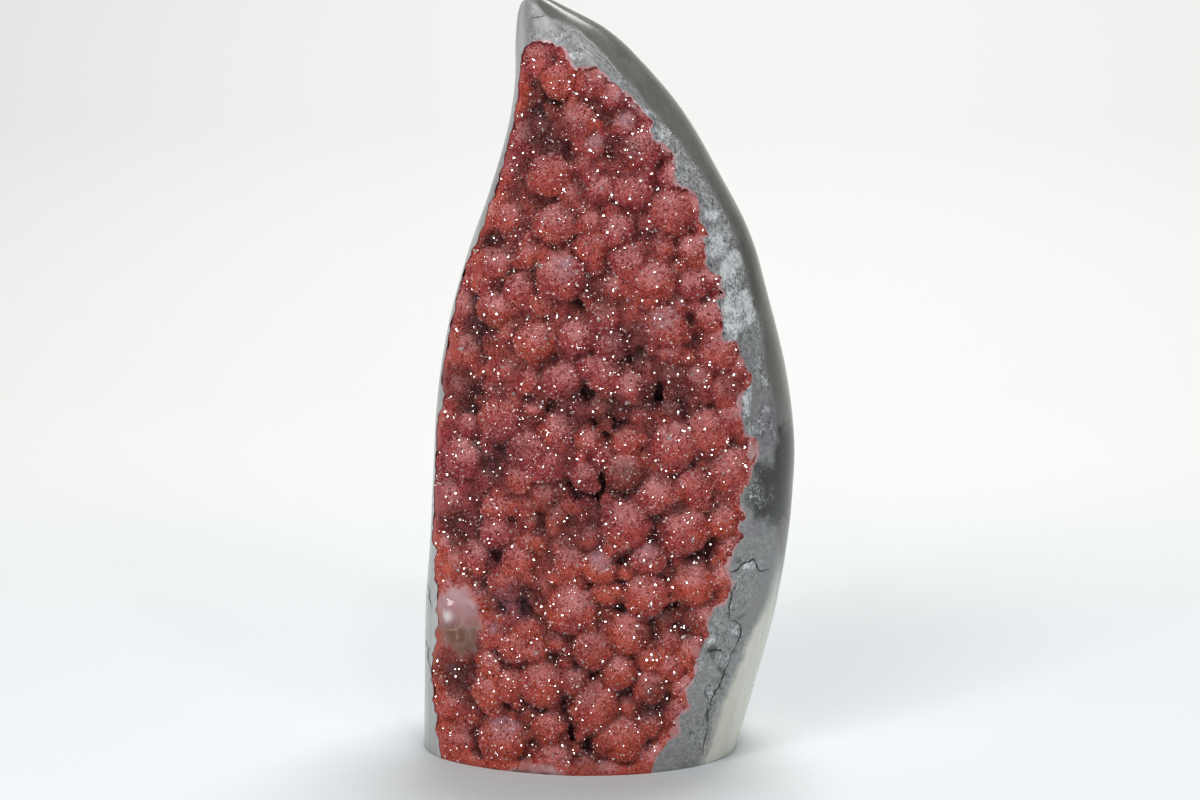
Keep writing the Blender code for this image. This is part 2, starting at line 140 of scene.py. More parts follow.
# Crystal balls: across, up, radius, how far the top lies below the front, all in mm, and frost from 0 to 9,
# which also sets how strongly a painted highlight lies on the ball's top
BALLS = [
    (-19.5, 113, 6.5, 0, 1), (-13.5, 106, 5.5, -1, 2), (-2.5, 105.5, 6.5, -0.5, 1),
    (-24.5, 102.5, 4.5, 3, 1), (4.5, 100.5, 5.5, 0, 4), (11, 98, 3, 2, 7), (-25.5, 96, 4.5, 4, 2),
    (15, 95.5, 3.5, 1, 7), (-7.5, 92, 7, 0, 4), (8.5, 91, 5.5, 1, 7), (-19, 90.5, 4, 4, 2),
    (19.5, 88.5, 3, 1, 8), (-25, 87.5, 5.5, 1, 5), (-2, 84.5, 5, 3, 6), (-14.5, 83.5, 4.5, 5, 3),
    (21.5, 83, 4, 1, 7), (12.5, 82, 7.5, 0, 3), (-5, 78, 4.5, 4, 2), (-28.5, 75.5, 5.5, 2, 3),
    (-16, 74.5, 8, 0, 2), (23, 74, 5, 0, 2), (0, 70, 5, 1.5, 4), (11, 69.5, 6.5, 0, 2),
    (-9.5, 67.5, 4.5, 3, 3), (30.5, 64, 4.5, 0, 7), (-35.5, 62.5, 3.5, 0, 6), (23, 61.5, 8, -1.5, 4),
    (-29, 60.5, 6.5, 1, 3), (-3, 59, 4.5, 1, 4), (-14.5, 58.5, 7.5, 0, 4), (5.5, 55.5, 6, 0, 4),
    (-2.5, 50.5, 6, 1, 1), (20.5, 50.5, 4.5, 1.5, 1), (30, 49.5, 5.5, 0, 6), (-23.5, 48.5, 4, 1, 3),
    (9.5, 45.5, 7, -0.5, 4), (-33.5, 44.5, 7.5, 0, 3), (-12.5, 41, 8.5, -1.5, 7), (36.5, 40.5, 4, 0, 7),
    (-38.5, 39.5, 4.5, 0, 2), (17.5, 39.5, 7.5, -1.5, 5), (30.5, 38.5, 5.5, 0, 4), (4, 37.5, 5, 2, 4),
    (-26.5, 36.5, 5.5, 0, 4), (-44, 31, 6.5, 0, 6), (-19, 31, 5, 2, 1), (25.5, 31, 4.5, 2, 1),
    (-33.5, 30.5, 6.5, -0.5, 6), (36, 27.5, 5.5, 0, 6), (1.5, 27, 6, 1, 3), (21.5, 24, 7.5, -1, 5),
    (-30, 22.5, 4.5, 3, 1), (-7.5, 21, 6.5, -1, 5), (-21, 19.5, 7, -1.5, 4), (4, 17.5, 5.5, 1, 3),
    (-43.5, 16, 7.5, -1, 5), (22.5, 16, 6.5, 2.5, 6), (38.5, 16, 7.5, -1, 2), (45.5, 11.5, 4, 0, 6),
    (14, 11.5, 4.5, 4.5, 3), (-3, 10.5, 4.5, 1, 2), (-30, 9.5, 4.5, 3, 2), (1.5, 8.5, 6.5, 0, 3),
    (23.5, 8.5, 6.5, 4.5, 4), (-23, 6.5, 5, 2.5, 2), (-12.5, 6.5, 6.5, -0.5, 6), (32.5, 6.5, 5, 1, 5),
    (-45.5, 4, 5.5, 1.5, 4), (10, 4, 5.5, 0, 6), (41, 3, 7.5, 0, 1), (-34.5, 2.5, 4, 4, 2),
    (0, -2, 4.5, 3, 3), (-21.5, -4, 4.5, 4, 3), (23, -4, 4.5, 2, 4), (13.5, -4.5, 6, 5, 2),
    (-49.5, -6, 6.5, 0, 3), (43, -6, 6, -0.5, 4), (-32.5, -7, 8, -1, 1), (-42.5, -8.5, 4.5, 1, 6),
    (-13.5, -10.5, 6.5, 1, 5), (34.5, -11, 8.5, -1.5, 3), (-3.5, -14, 4.5, 1, 4), (8.5, -14, 5.5, 2, 2),
    (24.5, -14.5, 8.5, -1.5, 3), (50.5, -16.5, 4, 0, 1), (-23.5, -17.5, 7, -0.5, 3),
    (-43.5, -18.5, 8.5, -1, 7), (0.5, -18.5, 4.5, 3, 2), (22.5, -20.5, 4.5, 2, 2), (-16, -22, 5.5, 1, 1),
    (42.5, -23.5, 9, -2, 5), (8, -24, 6.5, -0.5, 6), (-26.5, -25.5, 6, 0, 4), (-5, -25.5, 4.5, 0, 4),
    (-36.5, -26, 5, 4.5, 1), (30.5, -29, 7, -1, 2), (19, -31.5, 7, -1, 5), (-18, -32, 5, 2, 3),
    (-48, -32.5, 9, -1, 5), (-24.5, -35.5, 4.5, 2.5, 2), (-34.5, -36.5, 5, 0, 3),
    (-13.5, -38.5, 4.5, 3, 4), (39.5, -40, 6.5, 0, 6), (-23, -40.5, 4.5, 3, 3), (8.5, -41, 8.5, -2, 4),
    (27, -43, 9, -1.5, 3), (-34, -44, 6, -0.5, 3), (-3.5, -45.5, 4.5, 2, 1), (-24.5, -47, 2.5, 1, 7),
    (-51, -48.5, 3.5, 0, 8), (-12.5, -48.5, 4.5, 3, 4), (4.5, -48.5, 4.5, 2, 3), (42.5, -49.5, 4.5, 0, 4),
    (-40, -52, 6.5, 0, 6), (15.5, -52.5, 6, 0, 7), (-27.5, -53.5, 6, 0, 3), (-47.5, -54.5, 6.5, 0, 5),
    (-9.5, -54.5, 6, 0, 4), (0, -55.5, 6, 0, 7), (39.5, -59, 5.5, 0, 5), (-30.5, -60.5, 6.5, -0.5, 1),
    (30.5, -60.5, 8, -1, 5), (-7.5, -61, 4, 3, 2), (-18.5, -62.5, 4, 4, 2), (2.5, -63.5, 5.5, 2, 1),
    (15, -64.5, 7.5, -1, 4), (-40, -66, 5, 2, 3), (-9, -69.5, 9, -1.5, 6), (33, -72, 6.5, 0, 3),
    (20.5, -73, 4.5, 4, 5), (-23.5, -75.5, 5.5, 2, 0), (9.5, -77.5, 7.5, -0.5, 4),
    (-34.5, -78, 5.5, 1, 2), (-46, -80, 6, 1, 7), (22.5, -80, 5.5, 2, 3), (-13.5, -80, 4.5, 3, 3),
    (-27.5, -82, 6, 0, 1), (-2.5, -82.5, 7, -0.5, 3), (30, -83.5, 6, 0, 7), (-21.5, -84, 4, 1, 2),
    (16.5, -85, 5.5, 1, 2), (-36.5, -88, 5, 0, 4), (23, -89, 5, 0, 4), (6, -90, 6, 0, 5),
    (-48, -90.5, 5.5, 2.5, 7), (-18.5, -94, 8.5, -1.5, 3), (-9, -94, 5, 0, 4), (-29.5, -94.5, 6, 0, 1),
    (27, -95.5, 4.5, 0, 6), (16.5, -95.5, 6.5, -0.5, 3), (-36, -96.5, 6.5, -0.5, 4),
    (-2.5, -101.5, 9, -1.5, 3), (9.5, -101.5, 5, 3, 1), (-48.5, -102, 5.5, 0, 3), (-34, -102.5, 4, 2, 2),
    (24, -103.5, 5.5, 0, 3), (-22.5, -104, 4.5, 4, 1), (16, -107.5, 5, 1.5, 6),
    (-16.5, -108.5, 6.5, 0, 3), (6, -112, 9, -1.5, 3), (-31.5, -112.5, 8.5, -2, 6),
    (-45.5, -114, 7, -0.5, 3), (20.5, -118, 4.5, 0, 6), (15, -119, 5.5, 0, 4),
    (-14.5, -120, 7.5, -0.5, 4), (-4, -120.5, 4.5, 2.5, 2), (-40, -121.5, 4.5, 1, 4),
    (-23.5, -123.5, 4.5, 1, 5), (2.5, -123.5, 5.5, 0, 5),
]

# Balls ground smooth into the window, and the window itself: across, up, half-width and half-height in mm
WINDOW_BALLS = [
    (-48.5, -70, 8, -0.6), (-47, -77.5, 7.5, 0.8), (-49.5, -83, 6, 1.6),
]
WINDOW = (-47.2, -73, 7.9, 13)
# Places in the window, from the middle of its first ball: a painted highlight, and a thin ring with its
# radius
WINDOW_HIGHLIGHT = (-0.0022, -0.0075, 0.0001)
WINDOW_RING = (-0.0010, -0.0085, -0.0012)
RING_RADIUS = 0.0040

# Deep places between the balls, which also get painted shade: across, up, radius and depth, in mm
HOLLOWS = [
    (-18, 99, 4, 4), (-13, 85, 5, 5), (-23, 78, 3, 5), (3, 83, 4, 4), (9, 98, 3, 5), (-38, 51.5, 3, 6),
    (-3.5, 34, 4, 4), (-40, 24, 5, 4), (-13, 18, 3, 4), (-2, 0, 6, 6), (25.5, -0.5, 6, 9),
    (18.5, 1.5, 4.5, 6), (32, 0.5, 3.5, 5), (4, -6, 5, 5), (-43, -1, 5, 6), (-20, -3, 5, 5),
    (-31.5, -17, 4, 5), (-8, -20, 4, 4), (-10, -30, 4, 5), (8, -30, 6, 6), (0, -28, 4, 4), (10, 13, 4, 4),
    (16, -10, 3, 4), (-49, -43, 5, 6), (18, -43, 4, 6), (8, -53, 5, 5), (33, -53, 5, 5),
    (-36.5, -55, 5, 5), (-25, -68, 6, 5), (-21.5, -43, 4, 4), (21, -70, 5, 5), (3, -69, 4, 4),
    (-12, -82, 5, 4), (-5, -88, 4, 4), (-46.5, -94, 6, 5), (-25, -100, 5, 4), (-12, -100, 4, 4),
    (17, -101, 6, 6), (-8, -112, 5, 5), (-3, -115, 5, 5), (-27, -117, 4, 4), (-38, -119, 4, 4),
]

# Broad dusky places on the crystal front, where shade is painted over the deep gaps: across, up and radius in
# mm, and strength
DUSKY = [
    (24, 5, 9, 0.5), (25, -1, 5.5, 0.85), (17.5, 1, 5, 0.6), (31, 0.5, 4, 0.6), (-8, -2.5, 6, 0.55),
    (3, -4, 6.5, 0.7), (7, -27, 6, 0.6), (-49, -40, 5, 0.55), (-48, 6, 6, 0.55), (-49, -89, 7, 0.55),
    (28, -73, 5, 0.5), (-18, 91, 8, 0.65), (-27, -67, 7, 0.55), (-37, 53, 4, 0.5), (-10, -38, 12, 0.42),
    (-4, -119, 6, 0.45), (17, -78, 4.5, 0.4), (44, 4, 4, 0.4), (8, 83, 5, 0.35), (-32, -18, 7, 0.35),
    (10, 17, 8, 0.45), (-8, -97, 6, 0.3), (18, -100, 6, 0.45), (-3, -83, 6, 0.25), (33, -52, 5, 0.15),
    (-2, 33, 6, 0.4), (-40, 22, 6, 0.35),
]

# Places where the crystals are ground flat: across, up, half-width and half-height in mm
GROUND = [
    (-22.5, -123.5, 9.5, 2.8), (50.6, -16.5, 1.6, 3.8), (32.5, -84, 2, 2.6), (25.5, -111, 2.2, 2.4),
]

# Frosted lavender places on the crystal front: across, up and radius, in mm
LAVENDER = [
    (-31, -69, 6), (-37, -76, 5), (16.5, -50.5, 6), (18, 25, 5), (-3, 88, 5), (-31.5, -106.5, 5),
    (2, -52, 5), (-11, 43, 4), (-1, -69, 4), (27, 31, 4), (-47, -64, 7), (9, 97, 5),
]

# Broad pink places on the crystal front: across, up and radius, in mm
PINK = [
    (15, 91, 12), (20, 76, 8), (-44, -20, 10), (-30, -14, 8), (-40, -48, 8), (2, 18, 8), (-24, 82, 6),
]

# Clear quartz points seen one by one: across, up and length, in mm
SINGLE_POINTS = [
    (9, -0.6, 2.6), (-4, 42, 2.4), (-24, 27.5, 2.2), (-28.5, 2, 2.2), (-19.5, 44.5, 2.2),
    (-41.5, 49.5, 2), (-46, 17, 2.4), (1, 70.5, 2), (22.8, -13, 2.2), (28, -79, 2), (12.5, 99, 2.2),
    (-21, -84, 2), (-25.5, -89, 2.2), (31, -46.5, 2), (8, -53.5, 2.2), (-9.5, -99, 2),
]

# Patches of the shell: white quartz sugar in the cut rim, dark stone with a painted dark reflection on the
# right side, and blue-grey chalcedony; each with its place across and up, half-width and half-height in mm,
# lean in degrees and strength
PATCHES = {
    "frost": [
        (23, 89.5, 2.6, 6.5, 28, 0.8), (29, 76, 3.5, 6, 35, 0.45), (35, 66, 3, 7, 30, 0.5),
        (38.5, 61, 1.6, 4, 35, 1.0), (39, 52, 3.6, 7, 25, 0.85), (43.5, 44, 4, 7, 25, 1.0),
        (46.5, 32, 3.5, 7, 15, 1.0), (44, 26, 5, 4.5, 0, 0.9), (49.5, 28, 2, 3.5, 0, 0.9),
        (44, 22, 2.4, 3, 0, 0.8), (53, 11, 1.6, 4, 15, 0.5), (54, 6, 3, 3, 0, 0.6),
        (48.5, -1, 1.3, 6, 0, 0.9), (55.5, -5, 3, 3.4, 0, 0.6), (53, -9, 4, 3, 0, 0.4),
        (57.5, -13, 1.2, 5, -10, 0.6), (51.5, -30, 3, 6, 0, 0.45), (54, -34, 2.5, 2.5, 0, 0.35),
        (50.5, -55, 2.4, 1.6, -10, 1.0), (45, -77, 1.6, 2.2, 0, 0.7), (38.5, -81, 2, 2, 0, 0.75),
        (46.5, -62, 3, 3.5, -10, 0.35), (43, -71, 3, 3.5, -10, 0.3), (41.5, -86, 1.8, 3, -10, 0.4),
        (33, -88, 1.5, 1.8, 0, 0.6), (37, -98, 2.6, 3.6, -10, 0.6), (34.5, -113, 1.2, 7, -8, 0.5),
        (-18, 121.5, 5, 2.5, 0, 0.5), (-13, 122.5, 4, 2, 0, 0.4), (4.5, 112, 4, 1.6, -25, 0.5),
        (-9, 114.5, 3, 2.4, 20, 1.0), (8, 107, 5, 1.6, -50, 0.5),
    ],
    # The patches on the right side, across 49 to 62 mm and up from 5 to -42 mm, are a painted dark
    # reflection; the others are dark stone
    "dark": [
        (61, -18, 3.4, 10, 2, 0.9), (57.5, -31, 8.5, 11, -6, 1.0), (53, -24, 3.4, 4.5, 0, 0.8),
        (49.5, -36, 1.8, 3.5, 0, 0.5), (54, -11, 1.4, 1.6, 0, 0.6), (46, 50, 1, 5, 38, 0.5),
        (25.5, 77, 1.2, 4, 38, 0.35), (59.5, 5, 2, 4, 0, 0.3), (47, -53.5, 2.6, 1.0, -10, 0.6),
        (37.5, -84, 2.4, 1.0, 5, 0.8), (46, -73.5, 2.2, 1.2, -35, 0.55), (43, -65, 0.5, 3.2, -10, 0.8),
        (46, -78, 0.5, 2.6, -15, 0.8), (43.5, -82, 0.5, 3, -25, 0.8), (41.5, -88, 0.5, 3.2, -15, 0.9),
        (40.5, -93, 0.5, 2.2, -15, 0.8), (38, -98, 0.6, 2.6, -25, 0.9), (36, -105, 0.6, 4.5, -12, 0.9),
        (-8, 116.5, 3.5, 1.2, -40, 0.7),
    ],
    "lavender": [
        (37, 60, 1.8, 3.5, -20, 0.8), (36.5, 47, 1.4, 4, -12, 0.6), (42, 32, 2.4, 3, 0, 0.7),
        (47, 13, 3, 8, -10, 0.7), (56.5, -8, 4, 7, 0, 0.8), (53, -42, 4, 3, 0, 0.5),
        (55, -60, 2, 9, 8, 0.35), (-21, 131, 3, 3.5, 0, 0.2), (-8, 115, 2.5, 2, 20, 0.7),
    ],
}

# Thin lines in the shell: width in mm, and points across and up in mm
LINES = {
    "crack": [
        (0.5, [(43.2, -57.3), (45.2, -57), (48.1, -54.3), (51, -53), (53.3, -57), (56.3, -56.3)]),
        (0.35, [(45.5, -60.5), (44, -64), (43.5, -67), (43, -70.3), (43, -73.3)]),
        (0.45, [(43.3, -73.3), (46.7, -74.7), (47, -77), (46.2, -80), (45.2, -82)]),
        (0.5, [(45.2, -82), (42.6, -88.2), (40.7, -92.6), (38.5, -97), (37, -100), (36, -104.3),
               (35.6, -108)]),
        (0.3, [(34.7, -96.3), (35.3, -98.5), (36.6, -100.4)]),
        (0.35, [(35.6, -108), (35, -113), (34.4, -117)]),
        (0.7, [(36.3, -84), (38, -83.3), (40.7, -83.8)]), (0.25, [(30, -110), (29.9, -112.5)]),
        (0.25, [(33, -76.5), (34.3, -79), (34, -82)]),
        (0.3, [(-57.5, -61.5), (-56.7, -64.5), (-57, -66), (-55.9, -69)]),
        (0.3, [(-57.9, -80), (-57.1, -83), (-57.4, -86), (-56.7, -90)]),
        (0.3, [(-18.3, 128.5), (-20.3, 127.6), (-23.3, 127.2)]),
    ],
    "pale": [
        (0.4, [(-20, 125.5), (-14, 125.8), (-8, 123.3), (-2, 118.6), (2.5, 113.8), (5.8, 109.3), (8.3, 106)]),
        (0.25, [(-13, 123.4), (-8, 121.2), (-3.5, 117.6), (0.5, 113.6), (3.5, 110)]),
        (0.3, [(-7, 117.6), (-4, 115.8), (-0.5, 112.8), (4, 108.4), (8, 104.6)]),
        # A painted highlight along the crease where the rim meets the skin, low on the right side
        (1.1, [(39.6, -100), (38, -106), (37, -112), (36, -117), (34.9, -121)]),
    ],
}

# Where the rim gives way to the outer skin, in mm across and up, from the tip down
SKIN_LINE = [
    (-24, 150), (-22, 128.5), (-14, 127), (-7.3, 124), (0.7, 117), (7.3, 109), (14.5, 101), (21.5, 92.5),
    (28, 84), (33.5, 76), (38, 67.5), (42, 60), (46, 52), (49, 43), (51.5, 32), (54, 20), (57, 8),
    (58.5, -2), (58, -16), (58.5, -30), (58.8, -45), (58.5, -57), (55.5, -69), (49.5, -80), (45, -91),
    (40.7, -102.3), (37.3, -113.3), (33.7, -121), (30, -135),
]
# How far the glossy band of the rim reaches in from that line, as (height, width) in mm
SATIN_BAND = [(-120, 0), (-108, 2), (-96, 2.5), (-84, 4.7), (-73, 6), (-56, 3), (-45, 0)]
# Where the beige, a painted reflection of the floor, sets in, going down and going right, in mm
BEIGE_TOP = -58
BEIGE_LEFT = 20
# The thin veil of frost over the whole rim: its strength, and its lowest and highest place in mm
VEIL = 0.42
VEIL_RISE = (12, 104)

# Small bright lights: place, size and power; all look at one point
KEY_LIGHTS = [
    ((-0.55, -0.62, 0.6), 0.06, 0.8), ((0.15, -0.5, 0.85), 0.06, 0.8), ((0.62, -0.75, 0.42), 0.06, 0.6),
    ((-0.2, -0.85, 0.75), 0.05, 0.6), ((0.42, -0.6, 0.7), 0.05, 0.6), ((-0.75, -0.45, 0.35), 0.05, 0.5),
    ((0.05, -0.95, 0.12), 0.04, 0.3),
]
KEY_AIM = (0, 0, 0.11)
# Soft lights: name, place, target, width and depth, and power
SOFT_LIGHTS = [
    ("overhead", (0.22, 0.50, 1.5), (0, -0.02, 0), (0.75, 0.6), 16.2),
    ("front", (-0.55, -0.78, 1.05), (0, 0, 0.1), (0.5, 0.4), 5.0),
    ("wall", (0, 0.75, 1.9), (0, 1.7, 0.5), (2.6, 0.5), 6.5),
]
WORLD_COLOUR = (0.98, 0.99, 1, 1)
WORLD_STRENGTH = 0.11
# Floor and wall: distance back and height along the middle, half the width, and the gap below the stone
FLOOR_PROFILE = [(-3.0, 0.0), (0.16, 0.0), (0.22, 0.001), (0.5, 0.02), (0.9, 0.12), (1.4, 0.5), (1.7, 1.2),
                 (1.8, 3.5)]
FLOOR_HALF_WIDTH = 4.0
FLOOR_GAP = 0.00002
SENSOR_WIDTH = 36

# Colours within the finishes of the shell
SKIN_SHADE = (0.112, 0.113, 0.098)
SKIN_STREAK = (0.22, 0.221, 0.20)
SKIN_CLOUD = (0.235, 0.235, 0.215)
RIM_CLOUD = (0.315, 0.316, 0.322)
RIM_LIGHT_GRAIN = (0.42, 0.43, 0.425)
RIM_WISP = (0.075, 0.08, 0.078)
RIM_DARK_GRAIN = (0.085, 0.085, 0.085)
# Pale beige of the painted floor reflection low on the right side
BEIGE_SHADE = (0.66, 0.663, 0.575)
BEIGE_STREAK = (0.70, 0.70, 0.63)
PALE_SHADE = (0.30, 0.30, 0.295)
FROST_HAZE = (0.36, 0.37, 0.385)
FROST_SPECK = (0.06, 0.06, 0.062)
# Colours within the crust, its sugar, its window and its cut edge
GRAIN_SHADE = (0.085, 0.013, 0.012)
# Pale colour of the grains that flash: painted glints
GRAIN_FLASH = (0.90, 0.66, 0.63)
# Violet tint of the painted shade in the dusky places
VIOLET_GLOOM = (0.15, 0.075, 0.115)
CUT_MILKY = (0.58, 0.34, 0.35)
CUT_SPECK = (0.36, 0.10, 0.10)
WINDOW_BROWN = (0.20, 0.10, 0.07)
WINDOW_ROSE = (0.42, 0.20, 0.20)
WINDOW_PINK = (0.56, 0.32, 0.34)
# White of the painted highlight in the window
WINDOW_WHITE = (0.86, 0.76, 0.76)
WINDOW_RIM = (0.50, 0.33, 0.26)
WINDOW_STREAK = (0.52, 0.34, 0.33)
EDGE_ROSE = (0.48, 0.20, 0.20)
EDGE_PINK = (0.58, 0.34, 0.36)
EDGE_PALE = (0.62, 0.50, 0.50)
# Colours of the clear points and the bright faces, each between two tones, and of the thin lines
POINT_TONES = ((0.97, 0.84, 0.83), (0.92, 0.74, 0.74))
FACE_TONES = ((0.94, 0.86, 0.85), (0.90, 0.74, 0.72))
CRACK_BLACK = (0.012, 0.012, 0.013)
# Grey of the pale bands and of the painted highlight along the rim's crease
BAND_AND_HIGHLIGHT_GREY = (0.56, 0.56, 0.52)
# What the surfaces of quartz share
QUARTZ = {"IOR": 1.54}
CRUST_SHEEN = {"Specular IOR Level": 0.5, "Sheen Weight": 0.10, "Sheen Roughness": 0.45,
               "Sheen Tint": (1.0, 0.72, 0.74, 1)}

# How finely things are made, and the limits of the search for the front of the stone
FRONT_CORNERS = 230
BACK_CORNERS = 120
HALVINGS = 26
FRONT_START = -0.09
LATTICE = 32
MOST_TRIANGLES = 190000
BOX_MARGIN = 1e-6
# The pocket: where it starts in front of the stone, where its left part begins in mm, and its least wall
POCKET_START = -0.075
LEFT_POCKET_EDGE = -24
POCKET_WALL = 0.0005
# The bed of the crust: its spread across and up and its step, in mm, and its depth at the edge
BED_ACROSS = (-62, 60)
BED_RISE = (-130, 124)
BED_STEP = 1.6
EDGE_BED = 0.0009
# Small balls: how many are tried, and the ranges of their place, radius and depth in mm
BEAD_TRIES = 6000
BEAD_ACROSS = (-56, 51)
BEAD_RISE = (-126, 120)
BEAD_RADIUS = (1.5, 3.1)
BEAD_SUNK = (2.0, 5.0)
# The least that a ball's place is taken to face the eye
LEAST_FACING = 0.62
# Sides of the crystal edge shorter than this, in mm, are given teeth
LONGEST_TOOTHED = 8
# Where the crust begins to flatten toward the left face, as (height, place) in mm
LEFT_STRIP = [(-125, -44), (-50, -45), (0, -42), (60, -28), (113, -16)]
# How far left of the middle the crust's pale border begins, as (height, distance) in mm
BORDER_START = [(-125, 35), (0, 35), (113, 10)]
# Widths in mm of the surroundings that tell how deep a hollow is, and the map that they are measured on: rows
# and columns of 1 mm, the greatest depth in it, and the depth taken where it is empty
HOLLOW_WIDTHS = (2.4, 9)
MAP_SIZE = (280, 140)
MAP_DEPTH = 13.0
EMPTY_DEPTH = 4
# How far balls may stand proud of the front well inside the crystal edge, what is taken off that everywhere
# and outside the edge, and what is added in the window
PROUD_MOST = 0.0018
CRUST_DROP = 0.00012
OUTER_DROP = 0.0008
WINDOW_RISE = 0.0012
# The height below which the crust is cut level with the front, how deep that cut and the ground places reach,
# how far the lowest crystals are let down to the base, and the least gap to the front of the CAD
FOOT_HEIGHT = 0.0042
FOOT_REACH = 0.005
GROUND_REACH = 0.0065
FOOT_DROP = 0.0018
FRONT_GAP = 0.0007
# The gap to the polished left face, and what is added to it where the crust lies hidden outside the edge
LEFT_GAP = 0.0002
HIDDEN_GAP = 0.0012
# Sugar grains: unevenness of their places, how deep they still grow, their lean, the shares of them that
# flash and that are large, and the tone of those that flash; the rest have tones from 0 to 1
GRAIN_SCATTER = 0.00012
GRAIN_DEPTH = 0.018
GRAIN_LEAN = 0.32
# The grains that flash are painted pale, as glints
FLASH_SHARE = 0.015
LARGE_SHARE = 0.04
FLASH_TONE = 1.2
# Bright faces: least and greatest radius of the small and of the large ones, the share of large ones, and how
# far they stand off the crust
SMALL_FACE = (0.00010, 0.00020)
LARGE_FACE = (0.00022, 0.00044)
LARGE_FACES = 0.34
FACE_LIFT = 0.0003
# The cut edge and the thin lines: how far below the front their outer, inner and rear sides lie
EDGE_OUTER = 0.00004
EDGE_INNER = 0.00010
EDGE_REAR = 0.0016
LINE_FRONT = -0.00003
LINE_REAR = 0.0006


def unit(vectors):
    """Vectors scaled to a length of 1."""
    return vectors / np.linalg.norm(vectors, axis=-1, keepdims=True)


def smooth(values):
    """Values from 0 to 1 eased at both ends."""
    values = np.clip(values, 0, 1)
    return values * values * (3 - 2 * values)


def curve_at(knots, at):
    """Values of the smooth curve through (place, value) knots at an array of places."""
    places, values = np.array(knots, float).T
    last = len(places) - 1
    low, high = np.maximum(np.arange(last + 1) - 1, 0), np.minimum(np.arange(last + 1) + 1, last)
    slopes = (values[high] - values[low]) / (places[high] - places[low])
    at = np.clip(at, places[0], places[-1])
    start = np.clip(np.searchsorted(places, at, side="right") - 1, 0, last - 1)
    span = places[start + 1] - places[start]
    part = (at - places[start]) / span
    curve = (2 * part ** 3 - 3 * part ** 2 + 1) * values[start]
    curve += (part ** 3 - 2 * part ** 2 + part) * slopes[start] * span
    curve += (3 * part ** 2 - 2 * part ** 3) * values[start + 1]
    return curve + (part ** 3 - part ** 2) * slopes[start + 1] * span


def steps_at(steps, at):
    """Values on the straight lines through (place, value) steps."""
    return np.interp(at, *np.array(steps, float).T)


def metres_at(knots, height):
    """A curve of the outline, which is in mm, at an array of heights."""
    return curve_at(knots, height / MM) * MM


def edges(height):
    """Middle and half-width of the stone at an array of heights."""
    left, right = metres_at(LEFT_EDGE, height), metres_at(RIGHT_EDGE, height)
    return (left + right) / 2, (right - left) / 2


def across_share(x, height):
    """How far places lie across the stone, from -1 at its left edge to 1 at its right."""
    middle, half = edges(height)
    return np.clip((x - middle) / half, -1, 1)


def rounded(share, shape):
    """How far a rounded side stands out at a share of the way to its edge."""
    power, root = shape
    return (1 - np.abs(share) ** power) ** root


def front_y(x, height):
    """Y of the stone's front at places across and up."""
    share = across_share(x, height)
    side = np.where(share < 0, rounded(share, FRONT_LEFT_ROUND), rounded(share, FRONT_RIGHT_ROUND))
    return SILHOUETTE_Y - metres_at(FRONT_REACH, height) * side


def back_y(x, height):
    """Y of the stone's back at places across and up."""
    return SILHOUETTE_Y + metres_at(BACK_REACH, height) * rounded(across_share(x, height), BACK_ROUND)


def left_face_x(points):
    """X of the polished left face beside points; no limit where the front has turned forward."""
    y, height = points[:, 1], points[:, 2]
    middle, half = edges(height)
    ahead = np.clip((SILHOUETTE_Y - y) / metres_at(FRONT_REACH, height), 0, 1)
    behind = np.clip((y - SILHOUETTE_Y) / metres_at(BACK_REACH, height), 0, 1)
    reaches = [(1 - share ** (1 / root)) ** (1 / power)
               for share, (power, root) in ((ahead, FRONT_LEFT_ROUND), (behind, BACK_ROUND))]
    return np.where(ahead < LEFT_CUT, middle - half * np.minimum(*reaches), NO_LIMIT)


def sight(points):
    """Places of points on the sighting plane, in mm across and up."""
    lines = points - EYE
    scale = SIGHT_DISTANCE / (lines @ AHEAD) / MM
    return lines @ RIGHT * scale, lines @ UP * scale


def sight_lines(across, rise):
    """Unit directions from the eye through places of the sighting plane."""
    return unit(SIGHT_CENTRE - EYE + np.outer(across, RIGHT) * MM + np.outer(rise, UP) * MM)


def on_front(across, rise):
    """Where the lines from the eye through places of the sighting plane meet the front of the stone."""
    lines = sight_lines(across, rise)
    near = np.full(len(lines), FRONT_START)
    far = np.full(len(lines), SILHOUETTE_Y)
    for _ in range(HALVINGS):
        y = (near + far) / 2
        points = EYE + lines * ((y - EYE[1]) / lines[:, 1])[:, None]
        outside = y < front_y(points[:, 0], points[:, 2])
        near = np.where(outside, y, near)
        far = np.where(outside, far, y)
    return points


def front_normals(points):
    """Outward directions of the front of the stone at points on it."""
    step = 0.0004
    x, z = points[:, 0], points[:, 2]
    slope_x = (front_y(x + step, z) - front_y(x - step, z)) / (2 * step)
    slope_z = (front_y(x, z + step) - front_y(x, z - step)) / (2 * step)
    return unit(np.stack((slope_x, -np.ones(len(x)), slope_z), axis=1))


def below_front(points):
    """How far points lie behind the front of the stone, along the lines from the eye."""
    across, rise = sight(points)
    return ((points - on_front(across, rise)) * sight_lines(across, rise)).sum(1)


def ball_centres(balls):
    """Centres of balls whose tops lie a given depth below the front of the stone."""
    across, rise, radius, sunk = np.array(balls, float)[:, :4].T
    tops = on_front(across, rise)
    lines = sight_lines(across, rise)
    facing = np.clip(-(front_normals(tops) * lines).sum(1), LEAST_FACING, 1)
    return tops + lines * ((radius + sunk) * MM / facing)[:, None]


def soft_noise(points, size, seed):
    """Smooth noise from -1 to 1 at points, with features of the given size."""
    lattice = np.random.default_rng(seed).uniform(-1, 1, (LATTICE, LATTICE, LATTICE))
    at = points / size
    cell = np.floor(at).astype(int)
    part = smooth(at - cell)
    total = np.zeros(len(points))
    for step in np.ndindex(2, 2, 2):
        corner = (cell + step) % LATTICE
        total += np.where(step, part, 1 - part).prod(axis=1) * lattice[tuple(corner.T)]
    return total


